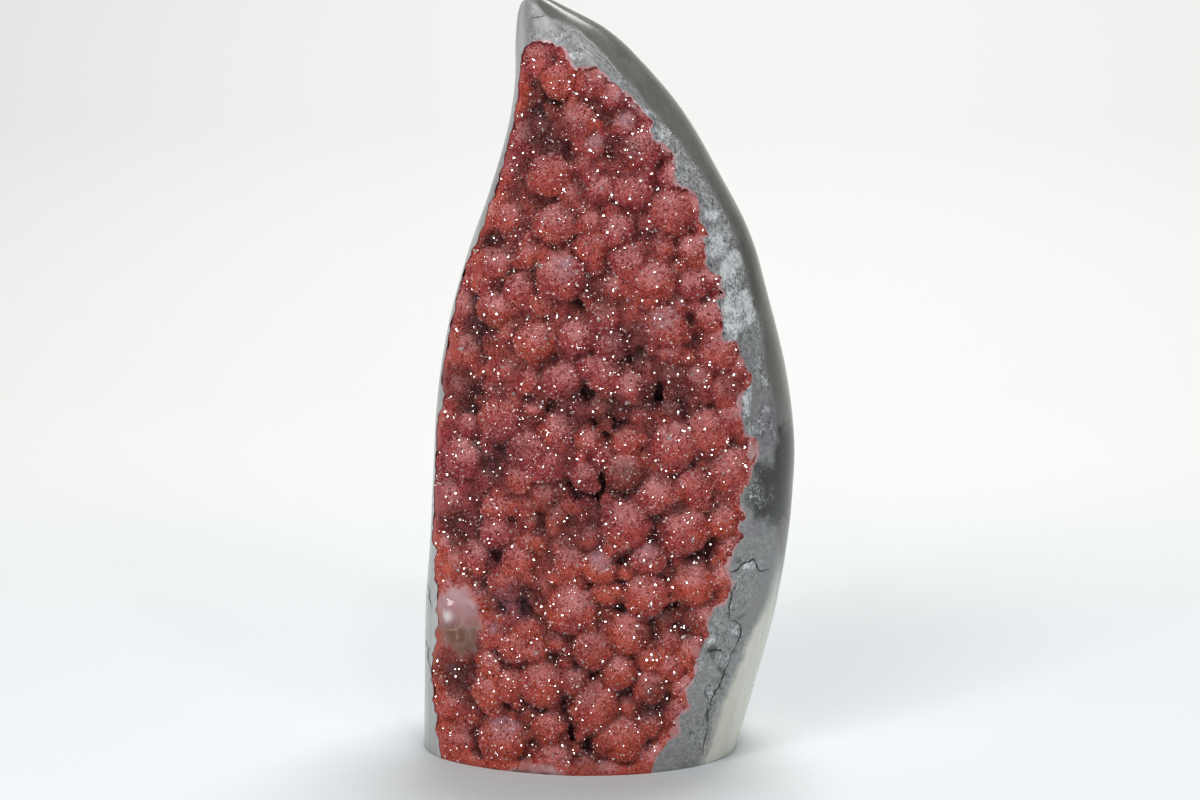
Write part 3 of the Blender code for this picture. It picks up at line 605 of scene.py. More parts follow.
def ragged(outline, rounds, roughness, seed):
    """A closed outline with finer and finer seeded teeth between its points."""
    random = np.random.default_rng(seed)
    points = np.array(outline, float)
    for _ in range(rounds):
        after = np.roll(points, -1, axis=0)
        step = after - points
        length = np.linalg.norm(step, axis=1, keepdims=True)
        side = np.stack((-step[:, 1], step[:, 0]), axis=1)
        shift = random.uniform(-roughness, roughness, (len(points), 1))
        middle = (points + after) / 2 + side * np.where(length < LONGEST_TOOTHED, shift, 0)
        points = np.stack((points, middle), axis=1).reshape(-1, 2)
    return points


def crystal_outline():
    """The ragged edge of the crystal front on the sighting plane, kept inside the polished left face."""
    outline = ragged(CRYSTAL_EDGE, 2, 0.16, SEED)
    heights = np.linspace(0, CAD_BOX[1][2], 200)
    face = np.stack((metres_at(LEFT_EDGE, heights), np.full(200, SILHOUETTE_Y), heights), axis=1)
    side, rise = sight(face)
    up = outline[:, 1]
    waves = sum(size * np.sin(up * rate + start) for size, rate, start in BORDER_WAVES)
    waves += TOP_BORDER * smooth((up - TOP_BORDER_START) / 15)
    outline[:, 0] = np.maximum(outline[:, 0], np.interp(up, rise, side) + LEFT_BORDER + waves)
    return outline


def edge_distance(across, rise, outline):
    """Distance in mm to a closed outline, negative inside it."""
    distance = np.full(len(across), 1e9)
    inside = np.zeros(len(across), bool)
    for start, end in zip(outline, np.roll(outline, -1, axis=0)):
        step = end - start
        length = max(float(step @ step), 1e-9)
        part = np.clip(((across - start[0]) * step[0] + (rise - start[1]) * step[1]) / length, 0, 1)
        away = (across - start[0] - step[0] * part) ** 2 + (rise - start[1] - step[1] * part) ** 2
        distance = np.minimum(distance, away)
        if start[1] != end[1]:
            crossing = (start[1] > rise) != (end[1] > rise)
            at = start[0] + step[0] * (rise - start[1]) / (end[1] - start[1])
            inside ^= crossing & (across < at)
    return np.where(inside, -1, 1) * np.sqrt(distance)


def patch_field(kind, across, rise):
    """Strength from 0 to 1 of one kind of patch at places on the sighting plane."""
    field = np.zeros(len(across))
    for middle, height, half_width, half_height, lean, strength in PATCHES[kind]:
        cosine, sine = math.cos(math.radians(lean)), math.sin(math.radians(lean))
        right = (across - middle) * cosine - (rise - height) * sine
        up = (across - middle) * sine + (rise - height) * cosine
        distance = np.sqrt((right / half_width) ** 2 + (up / half_height) ** 2)
        field = np.maximum(field, strength * smooth((1.6 - distance) / 1.1))
    return field


def spot_field(spots, across, rise):
    """Strength from 0 to 1 of round spots, each with its place, radius and greatest strength."""
    field = np.zeros(len(across))
    for middle, height, radius, strength in spots:
        distance = np.hypot(across - middle, rise - height) / radius
        field = np.maximum(field, smooth(1.6 - distance) * strength)
    return field


def window_field(across, rise):
    """1 in the smooth window on the sighting plane, 0 outside it."""
    middle, height, half_width, half_height = WINDOW
    lean = (rise - height) * 0.12
    away = np.hypot((across - middle + lean) / half_width, (rise - height) / half_height)
    away += 0.06 * np.sin(across * 1.3 + rise * 0.5) + 0.06 * np.sin(rise * 0.9 - across * 0.4)
    return smooth((1.2 - away) / 0.55)


def set_points(mesh, points):
    """Move the vertices of a mesh."""
    mesh.vertices.foreach_set("co", np.ascontiguousarray(points, np.float32).ravel())


def mesh_from(name, points, faces, smooth_shading=True):
    """A mesh from an array of points and an array of faces with equal corner counts."""
    mesh = bpy.data.meshes.new(name)
    mesh.vertices.add(len(points))
    set_points(mesh, points)
    mesh.loops.add(faces.size)
    mesh.loops.foreach_set("vertex_index", np.ascontiguousarray(faces, np.int32).ravel())
    mesh.polygons.add(len(faces))
    mesh.polygons.foreach_set("loop_start", np.arange(0, faces.size, faces.shape[1], dtype=np.int32))
    mesh.polygons.foreach_set("use_smooth", np.full(len(faces), smooth_shading))
    mesh.update(calc_edges=True)
    mesh.validate()
    return mesh


def turned_outward(mesh):
    """A closed mesh with all its faces looking outward."""
    made = bmesh.new()
    made.from_mesh(mesh)
    bmesh.ops.recalc_face_normals(made, faces=made.faces)
    made.to_mesh(mesh)
    made.free()
    return mesh


def mesh_points(mesh):
    """Vertex positions and normals of a mesh as arrays."""
    points, normals = np.empty((2, len(mesh.vertices), 3))
    mesh.vertices.foreach_get("co", points.ravel())
    mesh.vertex_normals.foreach_get("vector", normals.ravel())
    return points, normals


def set_field(mesh, name, values):
    """Store one number for each vertex of a mesh."""
    mesh.attributes.new(name, "FLOAT", "POINT").data.foreach_set("value", values.astype(np.float32))


def joined(parts):
    """Several pairs of points and faces as one pair."""
    points, faces = zip(*parts)
    starts = np.cumsum([0] + [len(some) for some in points])
    return np.concatenate(points), np.concatenate([some + start for some, start in zip(faces, starts)])


def repeated(rows, faces):
    """Points and triangles of many solids: a row of points for each corner, and the faces of one solid."""
    points = np.stack(rows, axis=1)
    starts = np.arange(len(points))[:, None, None] * len(rows)
    return points.reshape(-1, 3), (starts + np.array(faces)).reshape(-1, 3)


def spokes(axes, sides, random):
    """Directions square to each axis and spread evenly round it, one array for each side."""
    helper = np.where(np.abs(axes[:, 2:3]) < 0.9, np.array((0, 0, 1.0)), np.array((1.0, 0, 0)))
    first = unit(np.cross(helper, axes))
    second = np.cross(axes, first)
    turn = random.uniform(0, 2 * math.pi, len(axes))
    angles = [turn + 2 * math.pi * side / sides for side in range(sides)]
    return [first * np.cos(angle)[:, None] + second * np.sin(angle)[:, None] for angle in angles]


def pyramids(roots, axes, radius, height, sides, random):
    """Closed pyramids with their own size and turn: points and triangles."""
    base = roots - axes * (radius * 0.35)[:, None]
    rows = [roots + axes * height[:, None]]
    rows += [base + offset * radius[:, None] for offset in spokes(axes, sides, random)]
    faces = [(0, 1 + side, 1 + (side + 1) % sides) for side in range(sides)]
    faces += [(1, 1 + side + 1, 1 + side) for side in range(1, sides - 1)]
    return repeated(rows, faces)


def facets(roots, axes, radius, random):
    """Closed six-sided plates with a flat top across each axis: points and triangles."""
    offsets = spokes(axes, 6, random)
    rows = [roots + (offset * spread - axes * depth) * radius[:, None]
            for depth, spread in ((0.0, 1.0), (1.6, 0.7)) for offset in offsets]
    faces = [(0, side, side + 1) for side in range(1, 5)]
    faces += [(6, 6 + side + 1, 6 + side) for side in range(1, 5)]
    for side in range(6):
        after = (side + 1) % 6
        faces += [(side, side + 6, after + 6), (side, after + 6, after)]
    return repeated(rows, faces)


def add_object(name, data):
    """An object in the scene."""
    thing = bpy.data.objects.new(name, data)
    bpy.context.scene.collection.objects.link(thing)
    return thing


def place(name, mesh, material):
    """A piece of the stone that rides with it and stands for its solid."""
    points, _ = mesh_points(mesh)
    set_points(mesh, np.clip(points, np.array(CAD_BOX[0]) + BOX_MARGIN, np.array(CAD_BOX[1]) - BOX_MARGIN))
    piece = add_object(name, mesh)
    mesh.materials.clear()
    mesh.materials.append(material)
    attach(piece, BODY)
    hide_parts(NODE)


def evaluated(thing):
    """The mesh of an object as its modifiers leave it."""
    bpy.context.view_layer.update()
    mesh = bpy.data.meshes.new_from_object(thing.evaluated_get(bpy.context.evaluated_depsgraph_get()))
    if not mesh.polygons:
        raise RuntimeError(f"{thing.name} came out empty")
    return mesh


def discard(*things):
    """Remove working objects and their meshes."""
    for thing in things:
        mesh = thing.data
        bpy.data.objects.remove(thing, do_unlink=True)
        bpy.data.meshes.remove(mesh)


def full_crust():
    """The crust before it was thinned, which the grains, points and faces stand on."""
    mesh = bpy.data.meshes.get(FULL_CRUST)
    if mesh is None:
        raise RuntimeError("Build the crystal balls first")
    return mesh


def crust_view(points, normals):
    """How places of the crust lie: across, up, below the front, inside the edge, and facing the eye."""
    across, rise = sight(points)
    inside = -edge_distance(across, rise, crystal_outline())
    return across, rise, below_front(points), inside, -(normals * sight_lines(across, rise)).sum(1)


class Finish:
    """A node material under construction."""

    def __init__(self, name):
        self.material = bpy.data.materials.new(name)
        self.material.use_nodes = True
        self.tree = self.material.node_tree
        self.here = self.node("ShaderNodeTexCoord", {}).outputs["Object"]

    def put(self, socket, value):
        """Link a node's output to an input, or set the input to a plain value."""
        if isinstance(value, bpy.types.NodeSocket):
            self.tree.links.new(value, socket)
        else:
            socket.default_value = value

    def node(self, kind, inputs, **settings):
        """Add a node with its settings and inputs."""
        made = self.tree.nodes.new(kind)
        for key, value in settings.items():
            setattr(made, key, value)
        for key, value in inputs.items():
            self.put(made.inputs[key], value)
        return made

    def field(self, name):
        """A number stored on the vertices."""
        return self.node("ShaderNodeAttribute", {}, attribute_name=name).outputs["Fac"]

    def moved(self, vector, **inputs):
        """Places moved, turned or stretched."""
        return self.node("ShaderNodeMapping", {"Vector": vector, **inputs}).outputs[0]

    def axes(self, vector):
        """X, Y and Z of places."""
        return self.node("ShaderNodeSeparateXYZ", {"Vector": vector}).outputs

    def away(self, vector, centre):
        """Distance of places from a point."""
        made = self.node("ShaderNodeVectorMath", {0: vector, 1: centre}, operation="DISTANCE")
        return made.outputs["Value"]

    def noise(self, scale, detail=4.0, roughness=0.55, vector=None, distortion=0.0):
        """Soft noise from 0 to 1."""
        inputs = {"Scale": scale, "Detail": detail, "Roughness": roughness, "Distortion": distortion,
                  "Vector": vector or self.here}
        return self.node("ShaderNodeTexNoise", inputs).outputs["Fac"]

    def fold(self, operation, first, *others):
        """Values taken together, one after another."""
        for other in others:
            first = self.node("ShaderNodeMath", {0: first, 1: other}, operation=operation).outputs[0]
        return first

    def plus(self, *values):
        """The sum of values."""
        return self.fold("ADD", *values)

    def times(self, *values):
        """The product of values."""
        return self.fold("MULTIPLY", *values)

    def swing(self, noise, gain):
        """Noise turned to run from minus half to half of a gain."""
        return self.times(self.fold("SUBTRACT", noise, 0.5), gain)

    def gap(self, value, centre):
        """How far a value is from a centre."""
        return self.fold("ABSOLUTE", self.fold("SUBTRACT", value, centre), 0.0)

    def ramp(self, value, low, high, to_low=0.0, to_high=1.0):
        """A value taken smoothly from one range to another."""
        inputs = {"Value": value, "From Min": low, "From Max": high, "To Min": to_low, "To Max": to_high}
        return self.node("ShaderNodeMapRange", inputs, interpolation_type="SMOOTHSTEP").outputs[0]

    def layers(self, colour, *layers):
        """A colour with others laid over it, each as (amount, colour)."""
        for amount, over in layers:
            pair = [one if isinstance(one, bpy.types.NodeSocket) else (*one, 1) for one in (colour, over)]
            inputs = {"Factor": amount, 6: pair[0], 7: pair[1]}
            colour = self.node("ShaderNodeMix", inputs, data_type="RGBA").outputs[2]
        return colour

    def bump(self, height, strength, distance, **inputs):
        """A bumped normal."""
        inputs = {"Height": height, "Strength": strength, "Distance": distance, **inputs}
        return self.node("ShaderNodeBump", inputs).outputs["Normal"]

    def done(self, colour, roughness, more=None):
        """The material, with its colour, its roughness and more inputs of its shader."""
        for name, value in {"Base Color": colour, "Roughness": roughness, **(more or {})}.items():
            self.put(self.tree.nodes["Principled BSDF"].inputs[name], value)
        return self.material


def colour_property(name, description, default):
    """A colour that the user can change."""
    return bpy.props.FloatVectorProperty(name=name, description=description, default=default,
                                         subtype="COLOR", min=0, max=1)


def length_property(name, description, default):
    """A length that the user can change."""
    return bpy.props.FloatProperty(name=name, description=description, default=default, min=0,
                                   subtype="DISTANCE", unit="LENGTH", precision=5)


def count_property(name, description, default):
    """A count that the user can change."""
    return bpy.props.IntProperty(name=name, description=description, default=default, min=1)


class AmethystShell(bpy.types.PropertyGroup):
    """Sizes and colours of the polished shell"""
    ring_step: length_property("Ring step", "Height between the rings of the shell", 0.00095)
    bevel: length_property("Base edge", "Width of the eased edge round the base", 0.0004)
    pocket: length_property("Pocket depth", "Depth of the pocket behind the crystal front", 0.010)
    left_pocket: length_property("Left pocket depth", "Depth of the pocket beside the left face", 0.005)
    waviness: length_property("Waviness", "How far hand polishing leaves the skin from true", 0.00012)
    skin: colour_property("Skin", "Olive grey of the outer skin", (0.165, 0.166, 0.148))
    rim: colour_property("Rim", "Blue grey of the chalcedony rim", (0.262, 0.260, 0.264))
    # Beige: colour of the painted floor reflection low on the right side
    beige: colour_property("Beige", "Pale stone low on the right side", (0.78, 0.78, 0.69))
    frost: colour_property("Frost", "White quartz in the rim", (0.80, 0.81, 0.83))
    lavender: colour_property("Lavender", "Violet grey chalcedony", (0.215, 0.205, 0.235))
    # Dark: dark stone, and the painted dark reflection on the right side
    dark: colour_property("Dark", "Dark bare stone", (0.022, 0.022, 0.020))
    pale: colour_property("Pale side", "Pale grey of the left face", (0.52, 0.52, 0.515))


class AmethystCrust(bpy.types.PropertyGroup):
    """Sizes and colours of the crystal front"""
    bed: length_property("Bed depth", "Depth of the bed that the balls grow from", 0.0058)
    thickness: length_property("Thickness", "Depth of the back of the crust", 0.0135)
    voxel: length_property("Voxel", "Fineness of the joined balls", 0.00078)
    bead_count: count_property("Beads", "Small balls between the large ones", 330)
    blend: count_property("Blend", "Rounds of smoothing where balls meet", 8)
    triangles: count_property("Triangles", "Most triangles in the crust", 150000)
    knobble: length_property("Knobble", "Unevenness of the balls", 0.00075)
    core: colour_property("Core", "Red of the balls", (0.57, 0.080, 0.042))
    crimson: colour_property("Crimson", "Darker red of the balls", (0.37, 0.036, 0.042))
    # Deep: painted shade in the hollows between the balls
    deep: colour_property("Deep", "Maroon between the balls", (0.095, 0.018, 0.018))
    # Dusk: painted shade in the broad dusky places
    dusk: colour_property("Dusk", "Darkest places of the crystal front", (0.04, 0.009, 0.010))
    # Blush: pale colour of the frost and of the painted highlights on the balls
    blush: colour_property("Blush", "Pinkish white frosting", (0.74, 0.31, 0.30))
    violet: colour_property("Violet", "Lavender frosting", (0.46, 0.27, 0.34))
    cut: colour_property("Cut", "Polished cut through a ball", (0.50, 0.17, 0.155))


class AmethystSugar(bpy.types.PropertyGroup):
    """Sizes of the quartz sugar and points"""
    grain: length_property("Grain", "Radius of a sugar crystal", 0.00040)
    points: count_property("Points", "Larger quartz points", 420)
    point_size: length_property("Point size", "Length of the larger points", 0.0015)
    bright_faces: count_property("Bright faces", "Crystal faces that catch the lights", 1350)


class AmethystStage(bpy.types.PropertyGroup):
    """Floor, light and camera"""
    floor: colour_property("Floor", "Cool white floor", (0.765, 0.805, 0.818))
    wall: colour_property("Wall", "Warm white wall", (0.86, 0.865, 0.845))
    key: bpy.props.FloatProperty(name="Key light", description="Power of the key lights", default=0.8,
                                 min=0, unit="POWER")
    lens: bpy.props.FloatProperty(name="Lens", description="Focal length of the camera", default=85.5,
                                  min=10, unit="CAMERA")


def stone_loft(settings):
    """The whole outer surface of the stone as a closed mesh of rings from the base to the tip."""
    top = LEFT_EDGE[-1][0] * MM
    heights = np.concatenate(([0.0, settings.bevel], np.arange(settings.ring_step, top - settings.ring_step,
                                                               settings.ring_step),
                              top - settings.ring_step * 0.5 ** np.arange(5)))
    turns = np.concatenate((np.linspace(0, math.pi, FRONT_CORNERS, endpoint=False),
                            np.linspace(math.pi, 2 * math.pi, BACK_CORNERS, endpoint=False)))
    level, turn = np.meshgrid(np.unique(heights), turns, indexing="ij")
    middle, half = edges(level)
    x = middle - half * np.cos(turn)
    rings = np.stack((x, np.where(turn < math.pi, front_y(x, level), back_y(x, level)), level), axis=-1)
    centre = np.array((middle[0, 0], SILHOUETTE_Y, 0))
    rings[0] = centre + (rings[0] - centre) * (1 - settings.bevel / half[0, 0])
    spots = np.arange(level.size).reshape(level.shape)
    after = np.roll(spots, -1, axis=1)
    sides = np.stack((spots[:-1], after[:-1], after[1:], spots[1:]), axis=-1).reshape(-1, 4)
    mesh = bpy.data.meshes.new("stone_loft")
    caps = [spots[0, ::-1].tolist(), spots[-1].tolist()]
    mesh.from_pydata(rings.reshape(-1, 3).tolist(), [], sides.tolist() + caps)
    return turned_outward(mesh)


def pocket_cutter(settings, outline):
    """A closed block along the sight lines, as wide as the crystal front."""
    across, rise = outline.T
    lines = sight_lines(across, rise)
    depth = np.where(across < LEFT_POCKET_EDGE, settings.left_pocket, settings.pocket)
    front = EYE + lines * ((POCKET_START - EYE[1]) / lines[:, 1])[:, None]
    back = on_front(across, rise) + lines * depth[:, None]
    back[:, 0] = np.maximum(back[:, 0], left_face_x(back) + POCKET_WALL)
    count = len(outline)
    caps = np.array(geometry.tessellate_polygon([[Vector((*spot, 0)) for spot in outline]]))
    here = np.arange(count)
    after = np.roll(here, -1)
    triangles = np.concatenate((caps, caps[:, ::-1] + count, np.stack((here, after, after + count), axis=1),
                                np.stack((here, after + count, here + count), axis=1)))
    return turned_outward(mesh_from("pocket_cutter", np.concatenate((front, back)), triangles))


def shell_fields(mesh):
    """Store where the shell shows rim, frost, dark stone with a painted dark reflection on the right, pale
    side, and beige low on the right that is a painted reflection of the floor.
    """
    points, normals = mesh_points(mesh)
    across, rise = sight(points)
    front = smooth((SILHOUETTE_Y + 0.004 - points[:, 1]) / 0.004)
    inward = steps_at([(up, right) for right, up in reversed(SKIN_LINE)], rise) - across
    wander = soft_noise(points, 0.012, 3) * np.where(rise < -40, 0.5, 1.4)
    wander += soft_noise(points, 0.003, 4) * 0.5
    rim = smooth((inward + wander) / np.where(rise < -30, 3.5, 2.4) + 0.5) * front
    left = smooth(-(normals[:, 0] + 0.42) / 0.3)
    falling = rise + points[:, 1] / MM * 0.45 + soft_noise(points, 0.02, 9) * 7
    broken = smooth((inward - steps_at(SATIN_BAND, rise) + wander) / 1.6 + 0.5) * rim
    fields = {"broken": broken, "rim": rim * (1 - left), "left_side": left,
              # Beige low on the right, lighter towards the bottom: a painted reflection of the floor
              "beige": smooth((BEIGE_TOP - falling) / 26) * smooth((across - BEIGE_LEFT) / 8) * (1 - rim)}
    warped = [flat + soft_noise(points, 0.009, seed) * 2.2 + soft_noise(points, 0.0035, seed + 1) * 1.3
              for flat, seed in ((across, 5), (rise, 7))]
    for kind in PATCHES:
        fields[kind] = patch_field(kind, *warped) * front
    lowest, highest = VEIL_RISE
    veil = VEIL * smooth((rise - lowest) / 14) * smooth((highest - rise) / 10) * rim * front
    fields["frost"] = np.maximum(fields["frost"], veil) * (0.1 + 0.9 * rim) * (1 - left)
    for name, values in fields.items():
        set_field(mesh, name, values)


def shell_material(settings):
    """Polished agate: olive skin with lengthwise streaks, blue-grey rim and white quartz in it, with a
    painted dark reflection and a painted floor reflection in pale beige on the right side.
    """
    finish = Finish("polished_agate")
    ramp, noise, times, plus = finish.ramp, finish.noise, finish.times, finish.plus
    long_way = finish.moved(finish.here, Scale=(1.0, 1.0, 0.10))
    streaks, fine_streaks = noise(120, 5, 0.6, long_way), noise(420, 4, 0.6, long_way)
    clouds, grain, mottle = noise(45, 6, 0.62), noise(1100, 3, 0.6), noise(330, 5, 0.7)
    rim_here, broken, bare_and_reflection = finish.field("rim"), finish.field("broken"), finish.field("dark")
    skin = finish.layers(SKIN_SHADE, (ramp(streaks, 0.3, 0.7), settings.skin),
                         (ramp(fine_streaks, 0.45, 0.8, 0, 0.5), SKIN_STREAK),
                         (ramp(clouds, 0.5, 0.8, 0, 0.5), SKIN_CLOUD))
    rim = finish.layers(settings.rim, (ramp(clouds, 0.35, 0.7), RIM_CLOUD),
                        (times(ramp(noise(380, 7, 0.85), 0.45, 0.62, 0, 0.8), broken), RIM_LIGHT_GRAIN),
                        (times(ramp(noise(300, 8, 0.9), 0.54, 0.66, 0, 0.85), broken), RIM_WISP),
                        (times(ramp(grain, 0.5, 0.75, 0, 0.5), broken), RIM_DARK_GRAIN))
    # Beige low on the right side: a painted reflection of the pale floor
    beige = finish.layers(BEIGE_SHADE, (ramp(streaks, 0.35, 0.7), settings.beige),
                          (ramp(fine_streaks, 0.5, 0.75, 0, 0.5), BEIGE_STREAK))
    pale = finish.layers(settings.pale, (ramp(streaks, 0.35, 0.75), PALE_SHADE))
    # Dark stone, and on the right side a painted dark reflection
    dark = times(ramp(plus(bare_and_reflection, finish.swing(mottle, 1.1)), 0.25, 0.95), ramp(bare_and_reflection, 0.0, 0.4))
    veiled = times(rim_here, ramp(clouds, 0.35, 0.7, 0.08, 0.3))
    frosted = finish.fold("MAXIMUM", finish.field("frost"), veiled)
    haze = times(ramp(frosted, 0.15, 0.9, 0, 0.5), ramp(mottle, 0.35, 0.6, 0.2, 1))
    specks = times(ramp(noise(800, 5, 0.8), 0.53, 0.40, 0.0, 0.9), ramp(frosted, 0.0, 0.4))
    fibres = finish.moved(finish.here, Rotation=(0, math.radians(32), 0), Scale=(1, 1, 0.5))
    threads = [ramp(finish.gap(noise(scale, 3, 0.6, fibres, 0.8), 0.5), 0.0, width, weight, 0.0)
               for scale, width, weight in ((260, 0.028, 0.26), (560, 0.042, 0.34), (1150, 0.05, 0.34))]
    white = plus(finish.swing(mottle, 2.0), finish.swing(noise(1300, 3, 0.7), 1.2), *threads)
    white = times(ramp(plus(white, times(frosted, 0.85)), 0.5, 1.25), ramp(frosted, 0.02, 0.5, 0.0, 1.0))
    violet = times(finish.field("lavender"), ramp(clouds, 0.3, 0.6, 0.5, 1.0))
    colour = finish.layers(skin, (rim_here, rim), (finish.field("beige"), beige),
                           (finish.field("left_side"), pale), (violet, settings.lavender),
                           (dark, settings.dark), (haze, FROST_HAZE), (specks, FROST_SPECK),
                           (white, settings.frost))
    rough = plus(ramp(clouds, 0.3, 0.8, 0.22, 0.32), times(white, 0.25))
    normal = finish.bump(white, 0.35, 0.0003, Normal=finish.bump(grain, 0.06, 0.0002))
    return finish.done(colour, rough, {**QUARTZ, "Normal": normal})


class AMETHYST_OT_shell(bpy.types.Operator):
    """Polished outer skin, rim, left face, back and sawn base in one closed shell"""
    bl_idname = "amethyst.shell"
    bl_label = "Polished shell"

    def execute(self, context):
        settings = context.scene.amethyst_shell
        loft = add_object("loft", stone_loft(settings))
        cutter = add_object("cutter", pocket_cutter(settings, crystal_outline()))
        cut = loft.modifiers.new("pocket", "BOOLEAN")
        cut.operation = "DIFFERENCE"
        cut.solver = "EXACT"
        cut.object = cutter
        mesh = evaluated(loft)
        discard(loft, cutter)
        points, normals = mesh_points(mesh)
        wave = soft_noise(points, 0.018, 9) + 0.5 * soft_noise(points, 0.007, 10)
        calm = smooth(points[:, 2] / 0.002)
        set_points(mesh, points - normals * (np.abs(wave) * calm * settings.waviness)[:, None])
        made = bmesh.new()
        made.from_mesh(mesh)
        bmesh.ops.triangulate(made, faces=[face for face in made.faces if len(face.verts) > 4])
        made.to_mesh(mesh)
        made.free()
        mesh.shade_smooth()
        mesh.set_sharp_from_angle(angle=math.radians(38))
        shell_fields(mesh)
        place("polished_shell", mesh, shell_material(settings))
        return {"FINISHED"}


def bed_depth(across, rise, inside, settings):
    """Depth of the bed between the balls, deeper in the hollows and shallow near the edge."""
    depth = EDGE_BED + (settings.bed - EDGE_BED) * smooth((inside - 0.4) / 5.5)
    for middle, height, radius, deep in HOLLOWS:
        distance = np.hypot(across - middle, rise - height) / radius
        depth += deep * MM * 0.5 * smooth(1.7 - distance) * smooth(inside / 5)
    return depth * thinning(across)


def thinning(across):
    """How much of its depth the crust keeps, less towards the left face."""
    return 0.55 + 0.45 * smooth((across + 50) / 10)


def crust_bed(settings, outline):
    """A closed slab behind the balls, following the front of the stone."""
    columns, rows = np.arange(*BED_ACROSS, BED_STEP), np.arange(*BED_RISE, BED_STEP)
    across, rise = [grid.ravel() for grid in np.meshgrid(columns, rows)]
    width = len(columns)
    face = on_front(across, rise)
    lines = sight_lines(across, rise)
    rough = soft_noise(face, 0.005, 21) * 0.0009
    inside = np.minimum(-edge_distance(across, rise, outline), face[:, 2] / MM + 0.6)
    near = face + lines * (bed_depth(across, rise, inside, settings) + rough)[:, None]
    far = face + lines * (settings.thickness * thinning(across))[:, None]
    corner = np.arange(len(across)).reshape(len(rows), width)[:-1, :-1].ravel()
    centres = across[corner] + BED_STEP / 2, rise[corner] + BED_STEP / 2
    kept = corner[edge_distance(*centres, outline) < 1.2]
    ring = np.stack((kept, kept + 1, kept + 1 + width, kept + width), axis=1)
    rear = len(near)
    faces = [ring, ring[:, ::-1] + rear]
    for shift, first, second in ((-width, 0, 1), (1, 1, 2), (width, 2, 3), (-1, 3, 0)):
        edge = ~np.isin(kept + shift, kept)
        one, two = ring[edge, first], ring[edge, second]
        faces.append(np.stack((two, one, one + rear, two + rear), axis=1))
    used, faces = np.unique(np.concatenate(faces), return_inverse=True)
    faces = faces.reshape(-1, 4)
    return np.concatenate((near, far))[used], np.concatenate((faces[:, (0, 1, 2)], faces[:, (0, 2, 3)]))


def bead_list(settings, outline):
    """Small seeded balls for the gaps between the large ones."""
    random = np.random.default_rng(SEED + 1)
    across, rise, radius, sunk = [random.uniform(*limits, BEAD_TRIES)
                                  for limits in (BEAD_ACROSS, BEAD_RISE, BEAD_RADIUS, BEAD_SUNK)]
    fits = edge_distance(across, rise, outline) < -0.6
    taken = np.array([ball[:3] for ball in BALLS], float)
    beads = []
    for bead in np.stack((across, rise, radius, sunk), axis=1)[fits]:
        gap = np.hypot(taken[:, 0] - bead[0], taken[:, 1] - bead[1]) - taken[:, 2] * 0.8
        if gap.min() > bead[2] * 0.25:
            beads.append(tuple(bead))
            taken = np.vstack((taken, bead[:3]))
        if len(beads) == settings.bead_count:
            break
    return beads


def spheres(balls, subdivisions, random):
    """Lumpy spheres with their tops just below the front of the stone: points and triangles."""
    made = bmesh.new()
    bmesh.ops.create_icosphere(made, subdivisions=subdivisions, radius=1)
    ball = np.array([vertex.co[:] for vertex in made.verts])
    faces = np.array([[vertex.index for vertex in face.verts] for face in made.faces])
    made.free()
    radius = np.array([one[2] for one in balls]) * MM
    stretch = random.uniform(0.94, 1.06, (len(balls), 1, 3))
    points = ball_centres(balls)[:, None] + ball[None] * stretch * radius[:, None, None]
    triangles = faces[None] + np.arange(len(balls))[:, None, None] * len(ball)
    return points.reshape(-1, 3), triangles.reshape(-1, 3)


def keep_behind_cuts(points, outline):
    """Grind points back to the polished left face and, near the edge, to the front; say which were ground."""
    across, rise = sight(points)
    distance = -edge_distance(across, rise, outline)
    lines = sight_lines(across, rise)
    proud = -below_front(points)
    left = smooth((steps_at(LEFT_STRIP, rise) - across) / 10)
    allowed = PROUD_MOST * smooth((distance - 1.2 + left) / (8 - 5.5 * left)) * smooth(points[:, 2] / 0.008)
    allowed -= CRUST_DROP + OUTER_DROP * smooth((0.1 - distance) / 0.5)
    allowed += WINDOW_RISE * window_field(across, rise)
    over = proud - allowed
    ground = over > 0
    points = points + lines * np.where(ground, over, 0)[:, None]
    cut = np.zeros(len(points))
    wander = soft_noise(points, 0.004, 41) * 0.3 + soft_noise(points, 0.0015, 42) * 0.15
    for middle, height, half_width, half_height in GROUND:
        away = np.hypot((across - middle) / half_width, (rise - height) / half_height) + wander
        flat = smooth((1.12 - away) / 0.14) * (proud > -GROUND_REACH)
        points = points + lines * ((np.where(ground, allowed, proud) + 0.00015) * flat)[:, None]
        cut = np.maximum(cut, flat)
    height = points[:, 2]
    foot = smooth((FOOT_HEIGHT - height) / 0.0022) * (proud > -FOOT_REACH) * smooth(distance / 0.5)
    points[:, 1] += (front_y(points[:, 0], height) + 0.0001 - points[:, 1]) * foot
    points[:, 2] -= FOOT_DROP * smooth((0.0045 - height) / 0.0045)
    margin = LEFT_GAP + HIDDEN_GAP * smooth((-0.35 - distance) / 0.5)
    points[:, 0] = np.maximum(points[:, 0], left_face_x(points) + margin)
    points[:, 1] = np.maximum(points[:, 1], CAD_BOX[0][1] + FRONT_GAP)
    points[:, 2] = np.maximum(points[:, 2], 0.0)
    return points, cut


